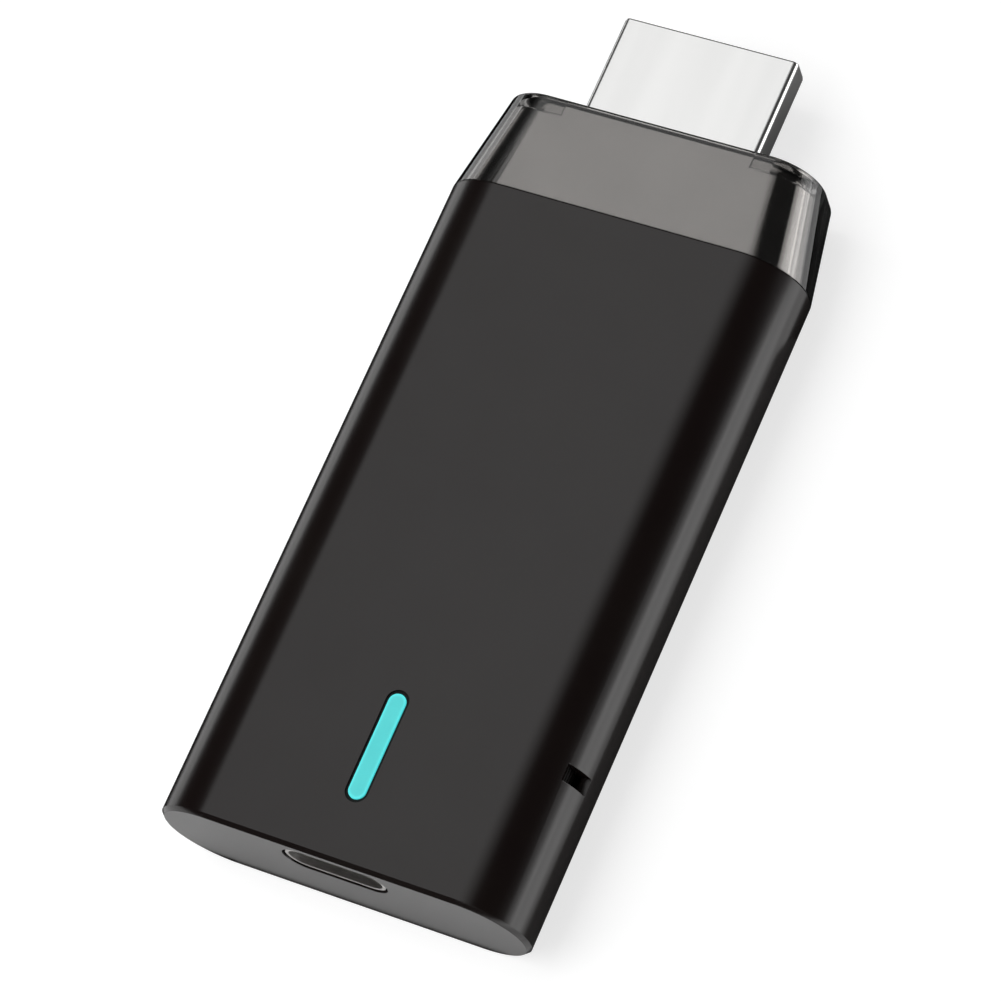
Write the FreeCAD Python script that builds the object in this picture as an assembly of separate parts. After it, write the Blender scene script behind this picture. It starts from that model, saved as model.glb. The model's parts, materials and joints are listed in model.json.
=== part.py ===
import FreeCAD
import Part
import os

# Wireless display adapter. Millimetres, +Z is the front face, +Y the plug end.

os.makedirs("parts", exist_ok=True)

# Housing: a flat-faced sleeve with full round sides and one closed end
BODY_LENGTH = 51.5
BODY_WIDTH = 28.4
BODY_THICKNESS = 9.5
BODY_CORNER = 4.6
WALL = 0.9
END_WALL = 1.2
END_CHAMFER = 0.3
MOUTH_CHAMFER = 0.08

# Clear nose cap
CAP_LENGTH = 7.9
CAP_TOP_WIDTH = 25.0
CAP_TOP_THICKNESS = 9.4
CAP_TOP_CORNER = 3.7
CAP_TOP_BEVEL = 0.25
CAP_FIT = 0.06
SHOULDER_LENGTH = 1.1
SHOULDER_DEPTH = 0.35
SHOULDER_SPREAD = 15.0

# Grey carrier that holds the plug inside the cap
CARRIER_WALL = 1.0
CARRIER_SPIGOT = 4.0
SNAP_WIDTH = 4.0
SNAP_REACH = 0.35
SNAP_LENGTH = 1.2
SNAP_SPREAD = 7.5
SNAP_GAP = 0.08

# Video plug
PLUG_OUT = 8.9
PLUG_WIDTH = 13.9
PLUG_HEIGHT = 4.45
PLUG_SIDE = 2.55
PLUG_NARROW_WIDTH = 10.2
PLUG_WALL = 0.3
PLUG_EDGE_RADIUS = 0.45
PLUG_TIP_CHAMFER = 0.2
PLUG_IN_BODY = 9.4
PLUG_SEAM = 0.08
PLUG_MOUTH_SETBACK = 0.8
PLUG_SLOT_WIDTH = 11.4
PLUG_SLOT_HEIGHT = 1.7
PLUG_SLOT_DEPTH = 7.0
CONTACT_PITCH = 1.0
CONTACT_WIDTH = 0.36
CONTACT_THICKNESS = 0.16
CHANNEL_GAP = 0.05
CHANNEL_DEPTH = 0.5
CROWN_RISE = 0.2
TAIL_LENGTH = 1.9
TAIL_RAMP = 0.9
DETENT_WIDTH = 1.9
DETENT_LENGTH = 1.5
DETENT_SPREAD = 2.6
DETENT_FROM_TIP = 3.6

# Light bar in the front face
BAR_LENGTH = 8.1
BAR_WIDTH = 1.2
BAR_CENTRE = 8.7
GASKET_BAND = 0.26
GASKET_SETBACK = 0.12
FOOT_LENGTH = 4.0
FOOT_CENTRE = 10.5
FLANGE_WIDTH = 3.4
FLANGE_THICKNESS = 0.6
LIGHT_GAP = 0.2
LED_HEIGHT = 0.6
LED_OFFSET = 1.0
BAR_EDGE = 0.06

# Port in the closed end
PORT_HOLE_WIDTH = 8.1
PORT_HOLE_HEIGHT = 3.3
PORT_RISE = 2.35
PORT_GAP = 0.2
PORT_WALL = 0.25
PORT_SETBACK = 0.2
PORT_LENGTH = 7.3
PORT_BLOCK = 1.8
TONGUE_WIDTH = 5.6
TONGUE_THICKNESS = 0.7
TONGUE_SETBACK = 0.9
PORT_CONTACTS = 12
PORT_CONTACT_PITCH = 0.42
PORT_CONTACT_WIDTH = 0.22
PORT_CONTACT_THICKNESS = 0.05
LEG_WIDTH = 1.0
LEG_SPREAD = 2.2
LEG_CENTRE = 4.4

# Side key in the notch
NOTCH_CENTRE = 11.55
NOTCH_WIDTH = 1.25
NOTCH_DEPTH = 1.45
NOTCH_LIP = 6.1
NOTCH_SLOPE = 1.6
KEY_FLOOR = 5.85
KEY_TOP = 7.9
KEY_GAP = 0.06
KEY_TRAVEL = 0.3
KEY_FLANGE = 0.5
KEY_REST_GAP = 0.03
GUIDE_DEPTH = 3.3
GUIDE_WIDTH = 3.0
PLUNGER_GAP = 0.04
SWITCH_LENGTH = 3.0
SWITCH_WIDTH = 3.6
SWITCH_HEIGHT = 1.9
SWITCH_OVERTRAVEL = 0.4
SWITCH_STANDOFF = KEY_TRAVEL + SWITCH_OVERTRAVEL
PLUNGER_HALF = 0.7
PLUNGER_RISE = 0.5

# Main board and its rails
BOARD_THICKNESS = 1.0
BOARD_TOP = 5.6
BOARD_SIDE_GAP = 0.4
BOARD_NOSE_STEP = 2.5
BOARD_START = 1.5
BOARD_SHOULDER_GAP = 0.7
BOARD_HOLE_RADIUS = 0.8
BOARD_HOLE_INSET = 2.3
STOP_SPREAD = 7.5
STOP_WIDTH = 1.0
RAIL_HEIGHT = 0.7
RAIL_REACH = 1.1
RAIL_GAP = 0.05

# Chips on the board
CHIP_EDGE = 0.15
PROCESSOR_WIDTH = 12.0
PROCESSOR_HEIGHT = 1.2
PROCESSOR_Y = 28.0
PAD_HEIGHT = 0.5
SPREADER_WIDTH = 19.0
SPREADER_LENGTH = 17.0
SPREADER_THICKNESS = 0.8
SPREADER_RIBS = 7
SHIELD_WALL = 0.2
SHIELD_HEIGHT = 1.8
SHIELD_INSET = 0.7
SHIELD_HOLE_RADIUS = 0.4
SHIELD_HOLE_PITCH = 2.6
RADIO_X = -4.5
RADIO_SETBACK = 8.8
RADIO_WIDTH = 12.0
RADIO_PLATE = 0.5
RADIO_PAD_PITCH = 1.6
RADIO_PAD_BITE = 0.3
RADIO_CHIP_WIDTH = 5.0
RADIO_CHIP_HEIGHT = 0.8
MEMORY_WIDTH = 11.0
MEMORY_LENGTH = 8.0
MEMORY_HEIGHT = 1.0
MEMORY_GAP = 4.0
ANTENNA_WIDTH = 2.2
ANTENNA_LENGTH = 6.5
ANTENNA_HEIGHT = 1.2
ANTENNA_LEAD = 2.0
ANTENNA_PAD = 0.5
CRYSTAL_WIDTH = 3.2
CRYSTAL_LENGTH = 2.5
CRYSTAL_HEIGHT = 0.9
CRYSTAL_LAG = 8.5
INDUCTOR_WIDTH = 4.0
INDUCTOR_HEIGHT = 2.4
INDUCTOR_BASE = 0.5
INDUCTOR_Y = 15.0
REGULATOR_WIDTH = 3.0
REGULATOR_HEIGHT = 0.9
REGULATOR_OFFSET = 5.0
PIN_PITCH = 0.65
PIN_WIDTH = 0.24
PIN_REACH = 0.4
PIN_HEIGHT = 0.2
CAPACITOR_LENGTH = 1.6
CAPACITOR_WIDTH = 0.8
CAPACITOR_PITCH = 2.0
BIG_CAPACITOR_LENGTH = 2.0
BIG_CAPACITOR_WIDTH = 1.2
BIG_CAPACITOR_PITCH = 2.6
RESISTOR_LENGTH = 1.0
RESISTOR_WIDTH = 0.5
RESISTOR_HEIGHT = 0.35
RESISTOR_PITCH = 1.6
EDGE_PARTS_INSET = 4.4

OVERALL = BODY_LENGTH + CAP_LENGTH + PLUG_OUT
END_Y = -OVERALL / 2
MID_Z = BODY_THICKNESS / 2
BOARD_BOTTOM = BOARD_TOP - BOARD_THICKNESS
INNER_TOP = BODY_THICKNESS - WALL
PORT_Z = MID_Z + PORT_RISE
INNER_HALF = BODY_WIDTH / 2 - WALL
NOTCH_BACK = BODY_WIDTH / 2 - NOTCH_DEPTH
GUIDE_INNER = BODY_WIDTH / 2 - GUIDE_DEPTH
BOARD_HALF_WIDTH = INNER_HALF - BOARD_SIDE_GAP
BOARD_NOSE_HALF_WIDTH = BOARD_HALF_WIDTH - BOARD_NOSE_STEP
BOARD_SHOULDER = BODY_LENGTH - CARRIER_SPIGOT - BOARD_SHOULDER_GAP
RAIL_INNER = INNER_HALF - RAIL_REACH
EDGE_PARTS = BOARD_HALF_WIDTH - EDGE_PARTS_INSET
REGULATOR_X = REGULATOR_OFFSET - EDGE_PARTS
RADIO_Y = BOARD_SHOULDER - RADIO_SETBACK
MEMORY_Y = RADIO_Y - (RADIO_WIDTH + MEMORY_LENGTH) / 2 - MEMORY_GAP
ANTENNA_Y = RADIO_Y + ANTENNA_LEAD
CRYSTAL_Y = RADIO_Y - CRYSTAL_LAG
TIP = OVERALL
CAP_TOP = BODY_LENGTH + CAP_LENGTH


def block(x0, x1, y0, y1, z0, z1):
    """Box between limits, with y counted from the closed end."""
    return Part.makeBox(x1 - x0, y1 - y0, z1 - z0, FreeCAD.Vector(x0, END_Y + y0, z0))


def join(shapes):
    """Fuses a list of solids into one clean solid."""
    first = shapes[0]
    if len(shapes) > 1:
        first = first.multiFuse(shapes[1:])
    return first.removeSplitter()


def edges_at(shape, y=None, z=None):
    """Edges that lie wholly at one place along the length, or at one height."""
    out = []
    for edge in shape.Edges:
        along = y is None or all(abs(v.Y - END_Y - y) < 1e-6 for v in edge.Vertexes)
        high = z is None or all(abs(v.Z - z) < 1e-6 for v in edge.Vertexes)
        if along and high:
            out.append(edge)
    return out


def save(name, shape):
    """Writes one named sub-part."""
    shape.exportStep(os.path.join("parts", name + ".step"))


def arc(cx, cz, radius, y, side_x, side_z):
    """Quarter arc of a rounded outline; it runs round the outline one way."""
    k = radius * 0.5 ** 0.5
    tip_x = FreeCAD.Vector(cx + side_x * radius, y, cz)
    tip_z = FreeCAD.Vector(cx, y, cz + side_z * radius)
    middle = FreeCAD.Vector(cx + side_x * k, y, cz + side_z * k)
    ends = (tip_x, tip_z) if side_x * side_z > 0 else (tip_z, tip_x)
    return Part.Arc(ends[0], middle, ends[1]).toShape()


def outline(width, height, corner, y, z=MID_Z):
    """Rounded rectangle across the length axis; a full corner gives an obround."""
    hx = width / 2 - corner
    hz = height / 2 - corner
    arcs = []
    for side_x, side_z in ((1, 1), (-1, 1), (-1, -1), (1, -1)):
        arcs.append(arc(side_x * hx, z + side_z * hz, corner, END_Y + y, side_x, side_z))
    edges = []
    for here, after in zip(arcs, arcs[1:] + arcs[:1]):
        edges.append(here)
        start = here.Vertexes[-1].Point
        end = after.Vertexes[0].Point
        if start.distanceToPoint(end) > 1e-5:
            edges.append(Part.makeLine(start, end))
    return Part.Wire(edges)


def bar(width, height, corner, y0, y1, z=MID_Z):
    """Straight bar of rounded section between two places along the length."""
    face = Part.Face(outline(width, height, corner, y0, z))
    return face.extrude(FreeCAD.Vector(0, y1 - y0, 0))


def pill(length, width, y, z0, z1):
    """Pill-shaped boss that lies along the length, in the plane of the front face."""
    r = width / 2
    half = length / 2 - r
    body = block(-r, r, y - half, y + half, z0, z1)
    for end in (y - half, y + half):
        centre = FreeCAD.Vector(0, END_Y + end, z0)
        body = body.fuse(Part.makeCylinder(r, z1 - z0, centre))
    return body.removeSplitter()


def soft_chip(width, length, height, x, y, z0):
    """Chip package on the board at z0; a negative height hangs it under the board."""
    z1 = z0 + height
    low, high = sorted((z0, z1))
    box = block(x - width / 2, x + width / 2, y - length / 2, y + length / 2, low, high)
    return box.makeChamfer(CHIP_EDGE, edges_at(box, z=z1))


# Housing with its rails, window, port hole, side notch, key guide and snap pockets

def snap_places():
    """Centres of the four snap hooks, as x and the side of the mid plane."""
    return [(sx * SNAP_SPREAD, sz) for sx in (-1, 1) for sz in (-1, 1)]


def sleeve():
    body = bar(BODY_WIDTH, BODY_THICKNESS, BODY_CORNER, 0, BODY_LENGTH)
    body = body.makeChamfer(END_CHAMFER, edges_at(body, y=0))
    body = body.makeChamfer(MOUTH_CHAMFER, edges_at(body, y=BODY_LENGTH))
    cavity = bar(BODY_WIDTH - 2 * WALL, BODY_THICKNESS - 2 * WALL, BODY_CORNER - WALL, END_WALL, BODY_LENGTH)
    return body, body.cut(cavity)


def rails():
    """Ledges under and over both long edges of the board."""
    guide_end = NOTCH_CENTRE + GUIDE_WIDTH / 2
    stop = BODY_LENGTH - CARRIER_SPIGOT - SNAP_LENGTH
    out = []
    edge = BODY_WIDTH / 2 - WALL / 2
    for side in (-1, 1):
        x0, x1 = sorted((side * RAIL_INNER, side * edge))
        out.append(block(x0, x1, END_WALL / 2, stop, BOARD_BOTTOM - RAIL_HEIGHT, BOARD_BOTTOM))
        low = BOARD_TOP + RAIL_GAP
        start = guide_end if side > 0 else END_WALL / 2
        out.append(block(x0, x1, start, stop, low, low + RAIL_HEIGHT))
    return out


def end_stops():
    """Two ribs on the closed end that stop the board."""
    out = []
    for side in (-1, 1):
        x0, x1 = side * STOP_SPREAD - STOP_WIDTH / 2, side * STOP_SPREAD + STOP_WIDTH / 2
        out.append(block(x0, x1, END_WALL / 2, BOARD_START, WALL / 2, BOARD_TOP + RAIL_HEIGHT))
    return out


def notch_cut():
    """Notch across the rounded side, with a floor that slopes down into the body."""
    lip_x = BODY_WIDTH / 2 - BODY_CORNER * (1 - (1 - ((NOTCH_LIP - MID_Z) / BODY_CORNER) ** 2) ** 0.5)
    inner_x = BODY_WIDTH / 2 - WALL
    out_x = BODY_WIDTH / 2 + 1
    places = [(NOTCH_BACK, BODY_THICKNESS), (out_x, BODY_THICKNESS)]
    for x in (out_x, inner_x):
        places.append((x, NOTCH_LIP + (x - lip_x) * NOTCH_SLOPE))
    places.append((NOTCH_BACK, places[-1][1]))
    loop = places + places[:1]
    points = [FreeCAD.Vector(x, END_Y + NOTCH_CENTRE - NOTCH_WIDTH / 2, z) for x, z in loop]
    return Part.Face(Part.makePolygon(points)).extrude(FreeCAD.Vector(0, NOTCH_WIDTH, 0))


def make_housing():
    full, body = sleeve()
    guide_y0 = NOTCH_CENTRE - GUIDE_WIDTH / 2
    guide = block(GUIDE_INNER, BODY_WIDTH / 2, guide_y0, guide_y0 + GUIDE_WIDTH,
                  BOARD_TOP + 0.1, BODY_THICKNESS - WALL / 2)
    added = join(rails() + end_stops() + [guide]).common(full)
    body = join([body, added])
    notch = NOTCH_WIDTH / 2
    cuts = [
        notch_cut(),
        block(0, NOTCH_BACK, NOTCH_CENTRE - notch, NOTCH_CENTRE + notch, KEY_FLOOR, KEY_TOP),
        bar(PORT_HOLE_WIDTH, PORT_HOLE_HEIGHT, PORT_HOLE_HEIGHT / 2, -1, END_WALL, PORT_Z),
        pill(BAR_LENGTH + 2 * GASKET_BAND, BAR_WIDTH + 2 * GASKET_BAND, BAR_CENTRE,
             INNER_TOP - WALL, BODY_THICKNESS + 1),
    ]
    for x, side in snap_places():
        inner = MID_Z + side * (BODY_THICKNESS / 2 - WALL)
        z0, z1 = sorted((inner - side, inner + side * (SNAP_REACH + SNAP_GAP)))
        y0 = BODY_LENGTH - CARRIER_SPIGOT + SNAP_LENGTH / 2
        half = SNAP_WIDTH / 2 + SNAP_GAP
        cuts.append(block(x - half, x + half, y0 - SNAP_GAP, y0 + SNAP_LENGTH + SNAP_GAP, z0, z1))
    for cut in cuts:
        body = body.cut(cut)
    return body


# Clear nose cap and the grey carrier that follows it inside

def cap_section(inset, y):
    """Outline of the cap at a place along it, drawn inward by an inset."""
    k = (y - BODY_LENGTH) / CAP_LENGTH
    width = BODY_WIDTH + (CAP_TOP_WIDTH - BODY_WIDTH) * k - 2 * inset
    height = BODY_THICKNESS + (CAP_TOP_THICKNESS - BODY_THICKNESS) * k - 2 * inset
    corner = BODY_CORNER + (CAP_TOP_CORNER - BODY_CORNER) * k - inset
    return outline(width, height, corner, y)


def taper(inset, y0, y1, bevel=0.0):
    """Solid of the cap's tapering form, with an optional bevel at the plug end."""
    sections = [cap_section(inset, y0), cap_section(inset, y1 - bevel)]
    if bevel > 0:
        sections.append(cap_section(inset + bevel, y1))
    return Part.makeLoft(sections, True, True)


def cap_inside(gap):
    """Room inside the cap, less a gap all round, with a shoulder near each end of its top."""
    form = taper(WALL + gap, BODY_LENGTH, CAP_TOP)
    narrow = taper(WALL + gap + SHOULDER_DEPTH, BODY_LENGTH, CAP_TOP)
    length = SHOULDER_LENGTH + gap
    first = SHOULDER_SPREAD / 2 - gap
    width = BODY_WIDTH / 2 - first
    for x in (first, -first - width):
        end = Part.makeBox(width, length, BODY_THICKNESS, FreeCAD.Vector(x, END_Y + CAP_TOP - length, 0))
        form = form.cut(end.cut(narrow))
    return form


def make_nose_cap():
    return taper(0, BODY_LENGTH, CAP_TOP, CAP_TOP_BEVEL).cut(cap_inside(0))


def plug_section(inset, y):
    """Plug outline: wide flat front, upright sides, then slants to the narrow back."""
    w = PLUG_WIDTH / 2 - inset
    n = PLUG_NARROW_WIDTH / 2 - inset * 0.41
    top = MID_Z + PLUG_HEIGHT / 2 - inset
    low = MID_Z - PLUG_HEIGHT / 2 + inset
    turn = MID_Z + PLUG_HEIGHT / 2 - PLUG_SIDE + inset * 0.41
    points = [(-w, top), (w, top), (w, turn), (n, low), (-n, low), (-w, turn), (-w, top)]
    return Part.makePolygon([FreeCAD.Vector(x, END_Y + y, z) for x, z in points])


def plug_form(inset, y0, y1):
    """Prism of the plug's outline with its long edges rounded."""
    form = Part.Face(plug_section(inset, y0)).extrude(FreeCAD.Vector(0, y1 - y0, 0))
    long_edges = []
    for edge in form.Edges:
        if abs(abs(edge.Vertexes[0].Y - edge.Vertexes[1].Y) - (y1 - y0)) < 1e-6:
            long_edges.append(edge)
    return form.makeFillet(max(PLUG_EDGE_RADIUS - inset, 0.12), long_edges)


def make_carrier():
    base = BODY_LENGTH - CARRIER_SPIGOT
    inset = WALL + CAP_FIT
    spigot = bar(BODY_WIDTH - 2 * inset, BODY_THICKNESS - 2 * inset, BODY_CORNER - inset, base, BODY_LENGTH)
    body = join([spigot, cap_inside(CAP_FIT)])
    deep = inset + CARRIER_WALL
    hollow = bar(BODY_WIDTH - 2 * deep, BODY_THICKNESS - 2 * deep, BODY_CORNER - deep, base, BODY_LENGTH)
    hollow = hollow.fuse(taper(deep, BODY_LENGTH, CAP_TOP - 2 * CARRIER_WALL))
    body = body.cut(hollow)
    for x, side in snap_places():
        inner = MID_Z + side * (BODY_THICKNESS / 2 - inset)
        y0 = base + SNAP_LENGTH / 2
        body = body.fuse(snap_hook(x, side, inner, y0))
    return body.cut(plug_form(-CAP_FIT, base, CAP_TOP + 1)).removeSplitter()


def snap_hook(x, side, face, y0):
    """Wedge that ramps up toward the plug end and catches in the housing's pocket."""
    peak = face + side * (SNAP_REACH + CAP_FIT)
    under = face - side * CARRIER_WALL / 2
    y1 = y0 + SNAP_LENGTH
    places = [(y0, under), (y0, face), (y1 - 0.3, peak), (y1, peak), (y1, under), (y0, under)]
    points = [FreeCAD.Vector(x - SNAP_WIDTH / 2, END_Y + y, z) for y, z in places]
    return Part.Face(Part.makePolygon(points)).extrude(FreeCAD.Vector(SNAP_WIDTH, 0, 0))


# Plug shell, insulator and contacts

def make_plug_shell():
    start = CAP_TOP - PLUG_IN_BODY
    outer = plug_form(0, start, TIP)
    outer = outer.makeChamfer(PLUG_TIP_CHAMFER, edges_at(outer, y=TIP))
    shell = outer.cut(plug_form(PLUG_WALL, start - 1, TIP + 1))
    y0 = TIP - DETENT_FROM_TIP - DETENT_LENGTH
    half = DETENT_WIDTH / 2
    through = MID_Z - PLUG_HEIGHT / 2 + 2 * PLUG_WALL
    for x in (-DETENT_SPREAD, DETENT_SPREAD):
        shell = shell.cut(block(x - half, x + half, y0, y0 + DETENT_LENGTH, 0, through))
    low = MID_Z - PLUG_HEIGHT / 2 + 1.5 * PLUG_WALL
    return shell.cut(block(-PLUG_SEAM / 2, PLUG_SEAM / 2, start - 1, TIP + 1, 0, low))


def row_places(count):
    """Places across the plug for a row of contacts, centred."""
    return [(i - (count - 1) / 2) * CONTACT_PITCH for i in range(count)]


def contact_rows():
    return (("front", 1, row_places(10)), ("back", -1, row_places(9)))


def make_insulator():
    start = CAP_TOP - PLUG_IN_BODY
    stop = TIP - PLUG_MOUTH_SETBACK
    body = plug_form(PLUG_WALL + 0.02, start, stop)
    half = PLUG_SLOT_WIDTH / 2
    slot = PLUG_SLOT_HEIGHT / 2
    body = body.cut(block(-half, half, stop - PLUG_SLOT_DEPTH, stop, MID_Z - slot, MID_Z + slot))
    channels = []
    for _, side, places in contact_rows():
        z0, z1 = sorted((MID_Z + side * slot, MID_Z + side * (slot + CHANNEL_DEPTH)))
        reach = CONTACT_WIDTH / 2 + CHANNEL_GAP
        for x in places:
            channels.append(block(x - reach, x + reach, start, stop - 0.5, z0, z1))
    for channel in channels:
        body = body.cut(channel)
    return body


def contact(x, side):
    """One spring contact: tail on the board, straight beam, crown toward the slot."""
    slot = PLUG_SLOT_HEIGHT / 2
    near = MID_Z + side * (slot + CHANNEL_DEPTH - CONTACT_THICKNESS - 0.08)
    pad = BOARD_TOP if side > 0 else BOARD_BOTTOM
    start = CAP_TOP - PLUG_IN_BODY
    stop = TIP - PLUG_MOUTH_SETBACK - 0.8
    dip = side * CROWN_RISE
    path = [(start - TAIL_LENGTH, pad), (start - TAIL_RAMP, pad), (start - 0.1, near), (stop - 2.4, near),
            (stop - 1.4, near - dip), (stop - 1.0, near - dip), (stop, near)]
    thick = side * CONTACT_THICKNESS
    loop = path + [(y, z + thick) for y, z in reversed(path)] + path[:1]
    points = [FreeCAD.Vector(x - CONTACT_WIDTH / 2, END_Y + y, z) for y, z in loop]
    return Part.Face(Part.makePolygon(points)).extrude(FreeCAD.Vector(CONTACT_WIDTH, 0, 0))


# Light bar, gasket and status lights

def make_light_bar():
    bar_body = pill(BAR_LENGTH, BAR_WIDTH, BAR_CENTRE, INNER_TOP, BODY_THICKNESS)
    bar_body = bar_body.makeChamfer(BAR_EDGE, edges_at(bar_body, z=BODY_THICKNESS))
    half = FOOT_LENGTH / 2
    y0, y1 = FOOT_CENTRE - half, FOOT_CENTRE + half
    flange = block(-FLANGE_WIDTH / 2, FLANGE_WIDTH / 2, y0, y1, INNER_TOP - FLANGE_THICKNESS, INNER_TOP)
    foot = block(-BAR_WIDTH / 2, BAR_WIDTH / 2, y0, y1, BOARD_TOP + LED_HEIGHT + LIGHT_GAP, INNER_TOP)
    return join([bar_body, flange, foot])



def make_gasket():
    outer = pill(BAR_LENGTH + 2 * GASKET_BAND - 0.02, BAR_WIDTH + 2 * GASKET_BAND - 0.02, BAR_CENTRE,
                 INNER_TOP, BODY_THICKNESS - GASKET_SETBACK)
    return outer.cut(pill(BAR_LENGTH + 0.02, BAR_WIDTH + 0.02, BAR_CENTRE, INNER_TOP - 1, BODY_THICKNESS + 1))


def make_leds():
    out = []
    for side in (-1, 1):
        y = FOOT_CENTRE + side * LED_OFFSET
        base = block(-0.8, 0.8, y - 0.4, y + 0.4, BOARD_TOP, BOARD_TOP + LED_HEIGHT / 2)
        lens = block(-0.5, 0.5, y - 0.4, y + 0.4, BOARD_TOP + LED_HEIGHT / 2, BOARD_TOP + LED_HEIGHT)
        out.append(join([base, lens]))
    return Part.makeCompound(out)


# Port in the closed end

def port_bar(inset, y0, y1):
    height = PORT_HOLE_HEIGHT - 2 * PORT_GAP - 2 * inset
    return bar(PORT_HOLE_WIDTH - 2 * PORT_GAP - 2 * inset, height, height / 2, y0, y1, PORT_Z)


def leg_places():
    """Lower legs of the port shell, as side and centre along the length."""
    return [(side, LEG_CENTRE + shift) for side in (-1, 1) for shift in (-LEG_SPREAD, LEG_SPREAD)]


def make_port_shell():
    end = PORT_SETBACK + PORT_LENGTH
    shell = port_bar(0, PORT_SETBACK, end).cut(port_bar(PORT_WALL, PORT_SETBACK - 1, end + 1))
    legs = []
    outer = PORT_HOLE_WIDTH / 2 - PORT_GAP
    for side, y in leg_places():
        x0, x1 = sorted((side * outer, side * (outer - PORT_WALL)))
        legs.append(block(x0, x1, y - LEG_WIDTH / 2, y + LEG_WIDTH / 2, BOARD_BOTTOM - 0.3, PORT_Z))
    return join([shell] + legs)


def make_port_tongue():
    end = PORT_SETBACK + PORT_LENGTH
    back = port_bar(PORT_WALL + 0.02, end - PORT_BLOCK, end)
    half = TONGUE_WIDTH / 2
    tongue = block(-half, half, PORT_SETBACK + TONGUE_SETBACK, end - PORT_BLOCK / 2,
                   PORT_Z - TONGUE_THICKNESS / 2, PORT_Z + TONGUE_THICKNESS / 2)
    tongue = tongue.makeChamfer(CHIP_EDGE, edges_at(tongue, y=PORT_SETBACK + TONGUE_SETBACK))
    return join([back, tongue])


def make_port_contacts():
    out = []
    y0 = PORT_SETBACK + TONGUE_SETBACK + 0.4
    y1 = PORT_SETBACK + PORT_LENGTH - PORT_BLOCK
    for side in (-1, 1):
        face = PORT_Z + side * TONGUE_THICKNESS / 2
        z0, z1 = sorted((face, face + side * PORT_CONTACT_THICKNESS))
        for i in range(PORT_CONTACTS):
            x = (i - (PORT_CONTACTS - 1) / 2) * PORT_CONTACT_PITCH
            out.append(block(x - PORT_CONTACT_WIDTH / 2, x + PORT_CONTACT_WIDTH / 2, y0, y1, z0, z1))
    return Part.makeCompound(out)


# Side key and its switch

def key_window(gap):
    """Section shared by the guide hole and the key: y limits, then z limits."""
    half = NOTCH_WIDTH / 2 - gap
    return NOTCH_CENTRE - half, NOTCH_CENTRE + half, KEY_FLOOR + gap, KEY_TOP - gap


def make_side_key():
    y0, y1, z0, z1 = key_window(KEY_GAP)
    stop = GUIDE_INNER - KEY_REST_GAP
    stem = block(stop - KEY_FLANGE, NOTCH_BACK, y0, y1, z0, z1)
    flange = block(stop - KEY_FLANGE, stop, y0 - 0.5, y1 + 0.5, z0 - KEY_GAP, z1 + 0.3)
    grip = []
    for i in range(3):
        z = z0 + 0.4 + i * 0.55
        grip.append(block(NOTCH_BACK - 0.12, NOTCH_BACK + 1, y0, y1, z, z + 0.16))
    key = join([stem, flange])
    for groove in grip:
        key = key.cut(groove)
    return key


def switch_limits():
    """Near and far x of the switch body, set by the key's travel."""
    face = GUIDE_INNER - KEY_REST_GAP - KEY_FLANGE - SWITCH_STANDOFF
    return face - SWITCH_LENGTH, face



def plunger_block(gap, x0, x1):
    z = BOARD_TOP + SWITCH_HEIGHT / 2 + 0.2
    return block(x0, x1, NOTCH_CENTRE - PLUNGER_HALF - gap, NOTCH_CENTRE + PLUNGER_HALF + gap,
                 z - PLUNGER_RISE - gap, z + PLUNGER_RISE + gap)


def make_switch_body():
    x0, x1 = switch_limits()
    half = SWITCH_WIDTH / 2
    body = block(x0, x1, NOTCH_CENTRE - half, NOTCH_CENTRE + half, BOARD_TOP, BOARD_TOP + SWITCH_HEIGHT)
    body = body.makeChamfer(CHIP_EDGE, edges_at(body, z=BOARD_TOP + SWITCH_HEIGHT))
    return body.cut(plunger_block(KEY_GAP, x1 - 1.6, x1 + 1))


def make_switch_plunger():
    x1 = switch_limits()[1]
    tip = x1 + SWITCH_STANDOFF - PLUNGER_GAP
    return plunger_block(0, x1 - 1.0, tip)


def make_switch_terminals():
    x0, x1 = switch_limits()
    out = []
    half = SWITCH_WIDTH / 2
    for side in (-1, 1):
        for x in (x0 + 0.4, x1 - 1.0):
            y0, y1 = sorted((NOTCH_CENTRE + side * half, NOTCH_CENTRE + side * (half + 0.7)))
            foot = block(x, x + 0.6, y0, y1, BOARD_TOP, BOARD_TOP + 0.15)
            z1 = BOARD_TOP + SWITCH_HEIGHT / 2
            y2, y3 = sorted((NOTCH_CENTRE + side * half, NOTCH_CENTRE + side * (half + 0.15)))
            out.append(join([foot, block(x, x + 0.6, y2, y3, BOARD_TOP, z1)]))
    return Part.makeCompound(out)


# Main board and what sits on it

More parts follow.
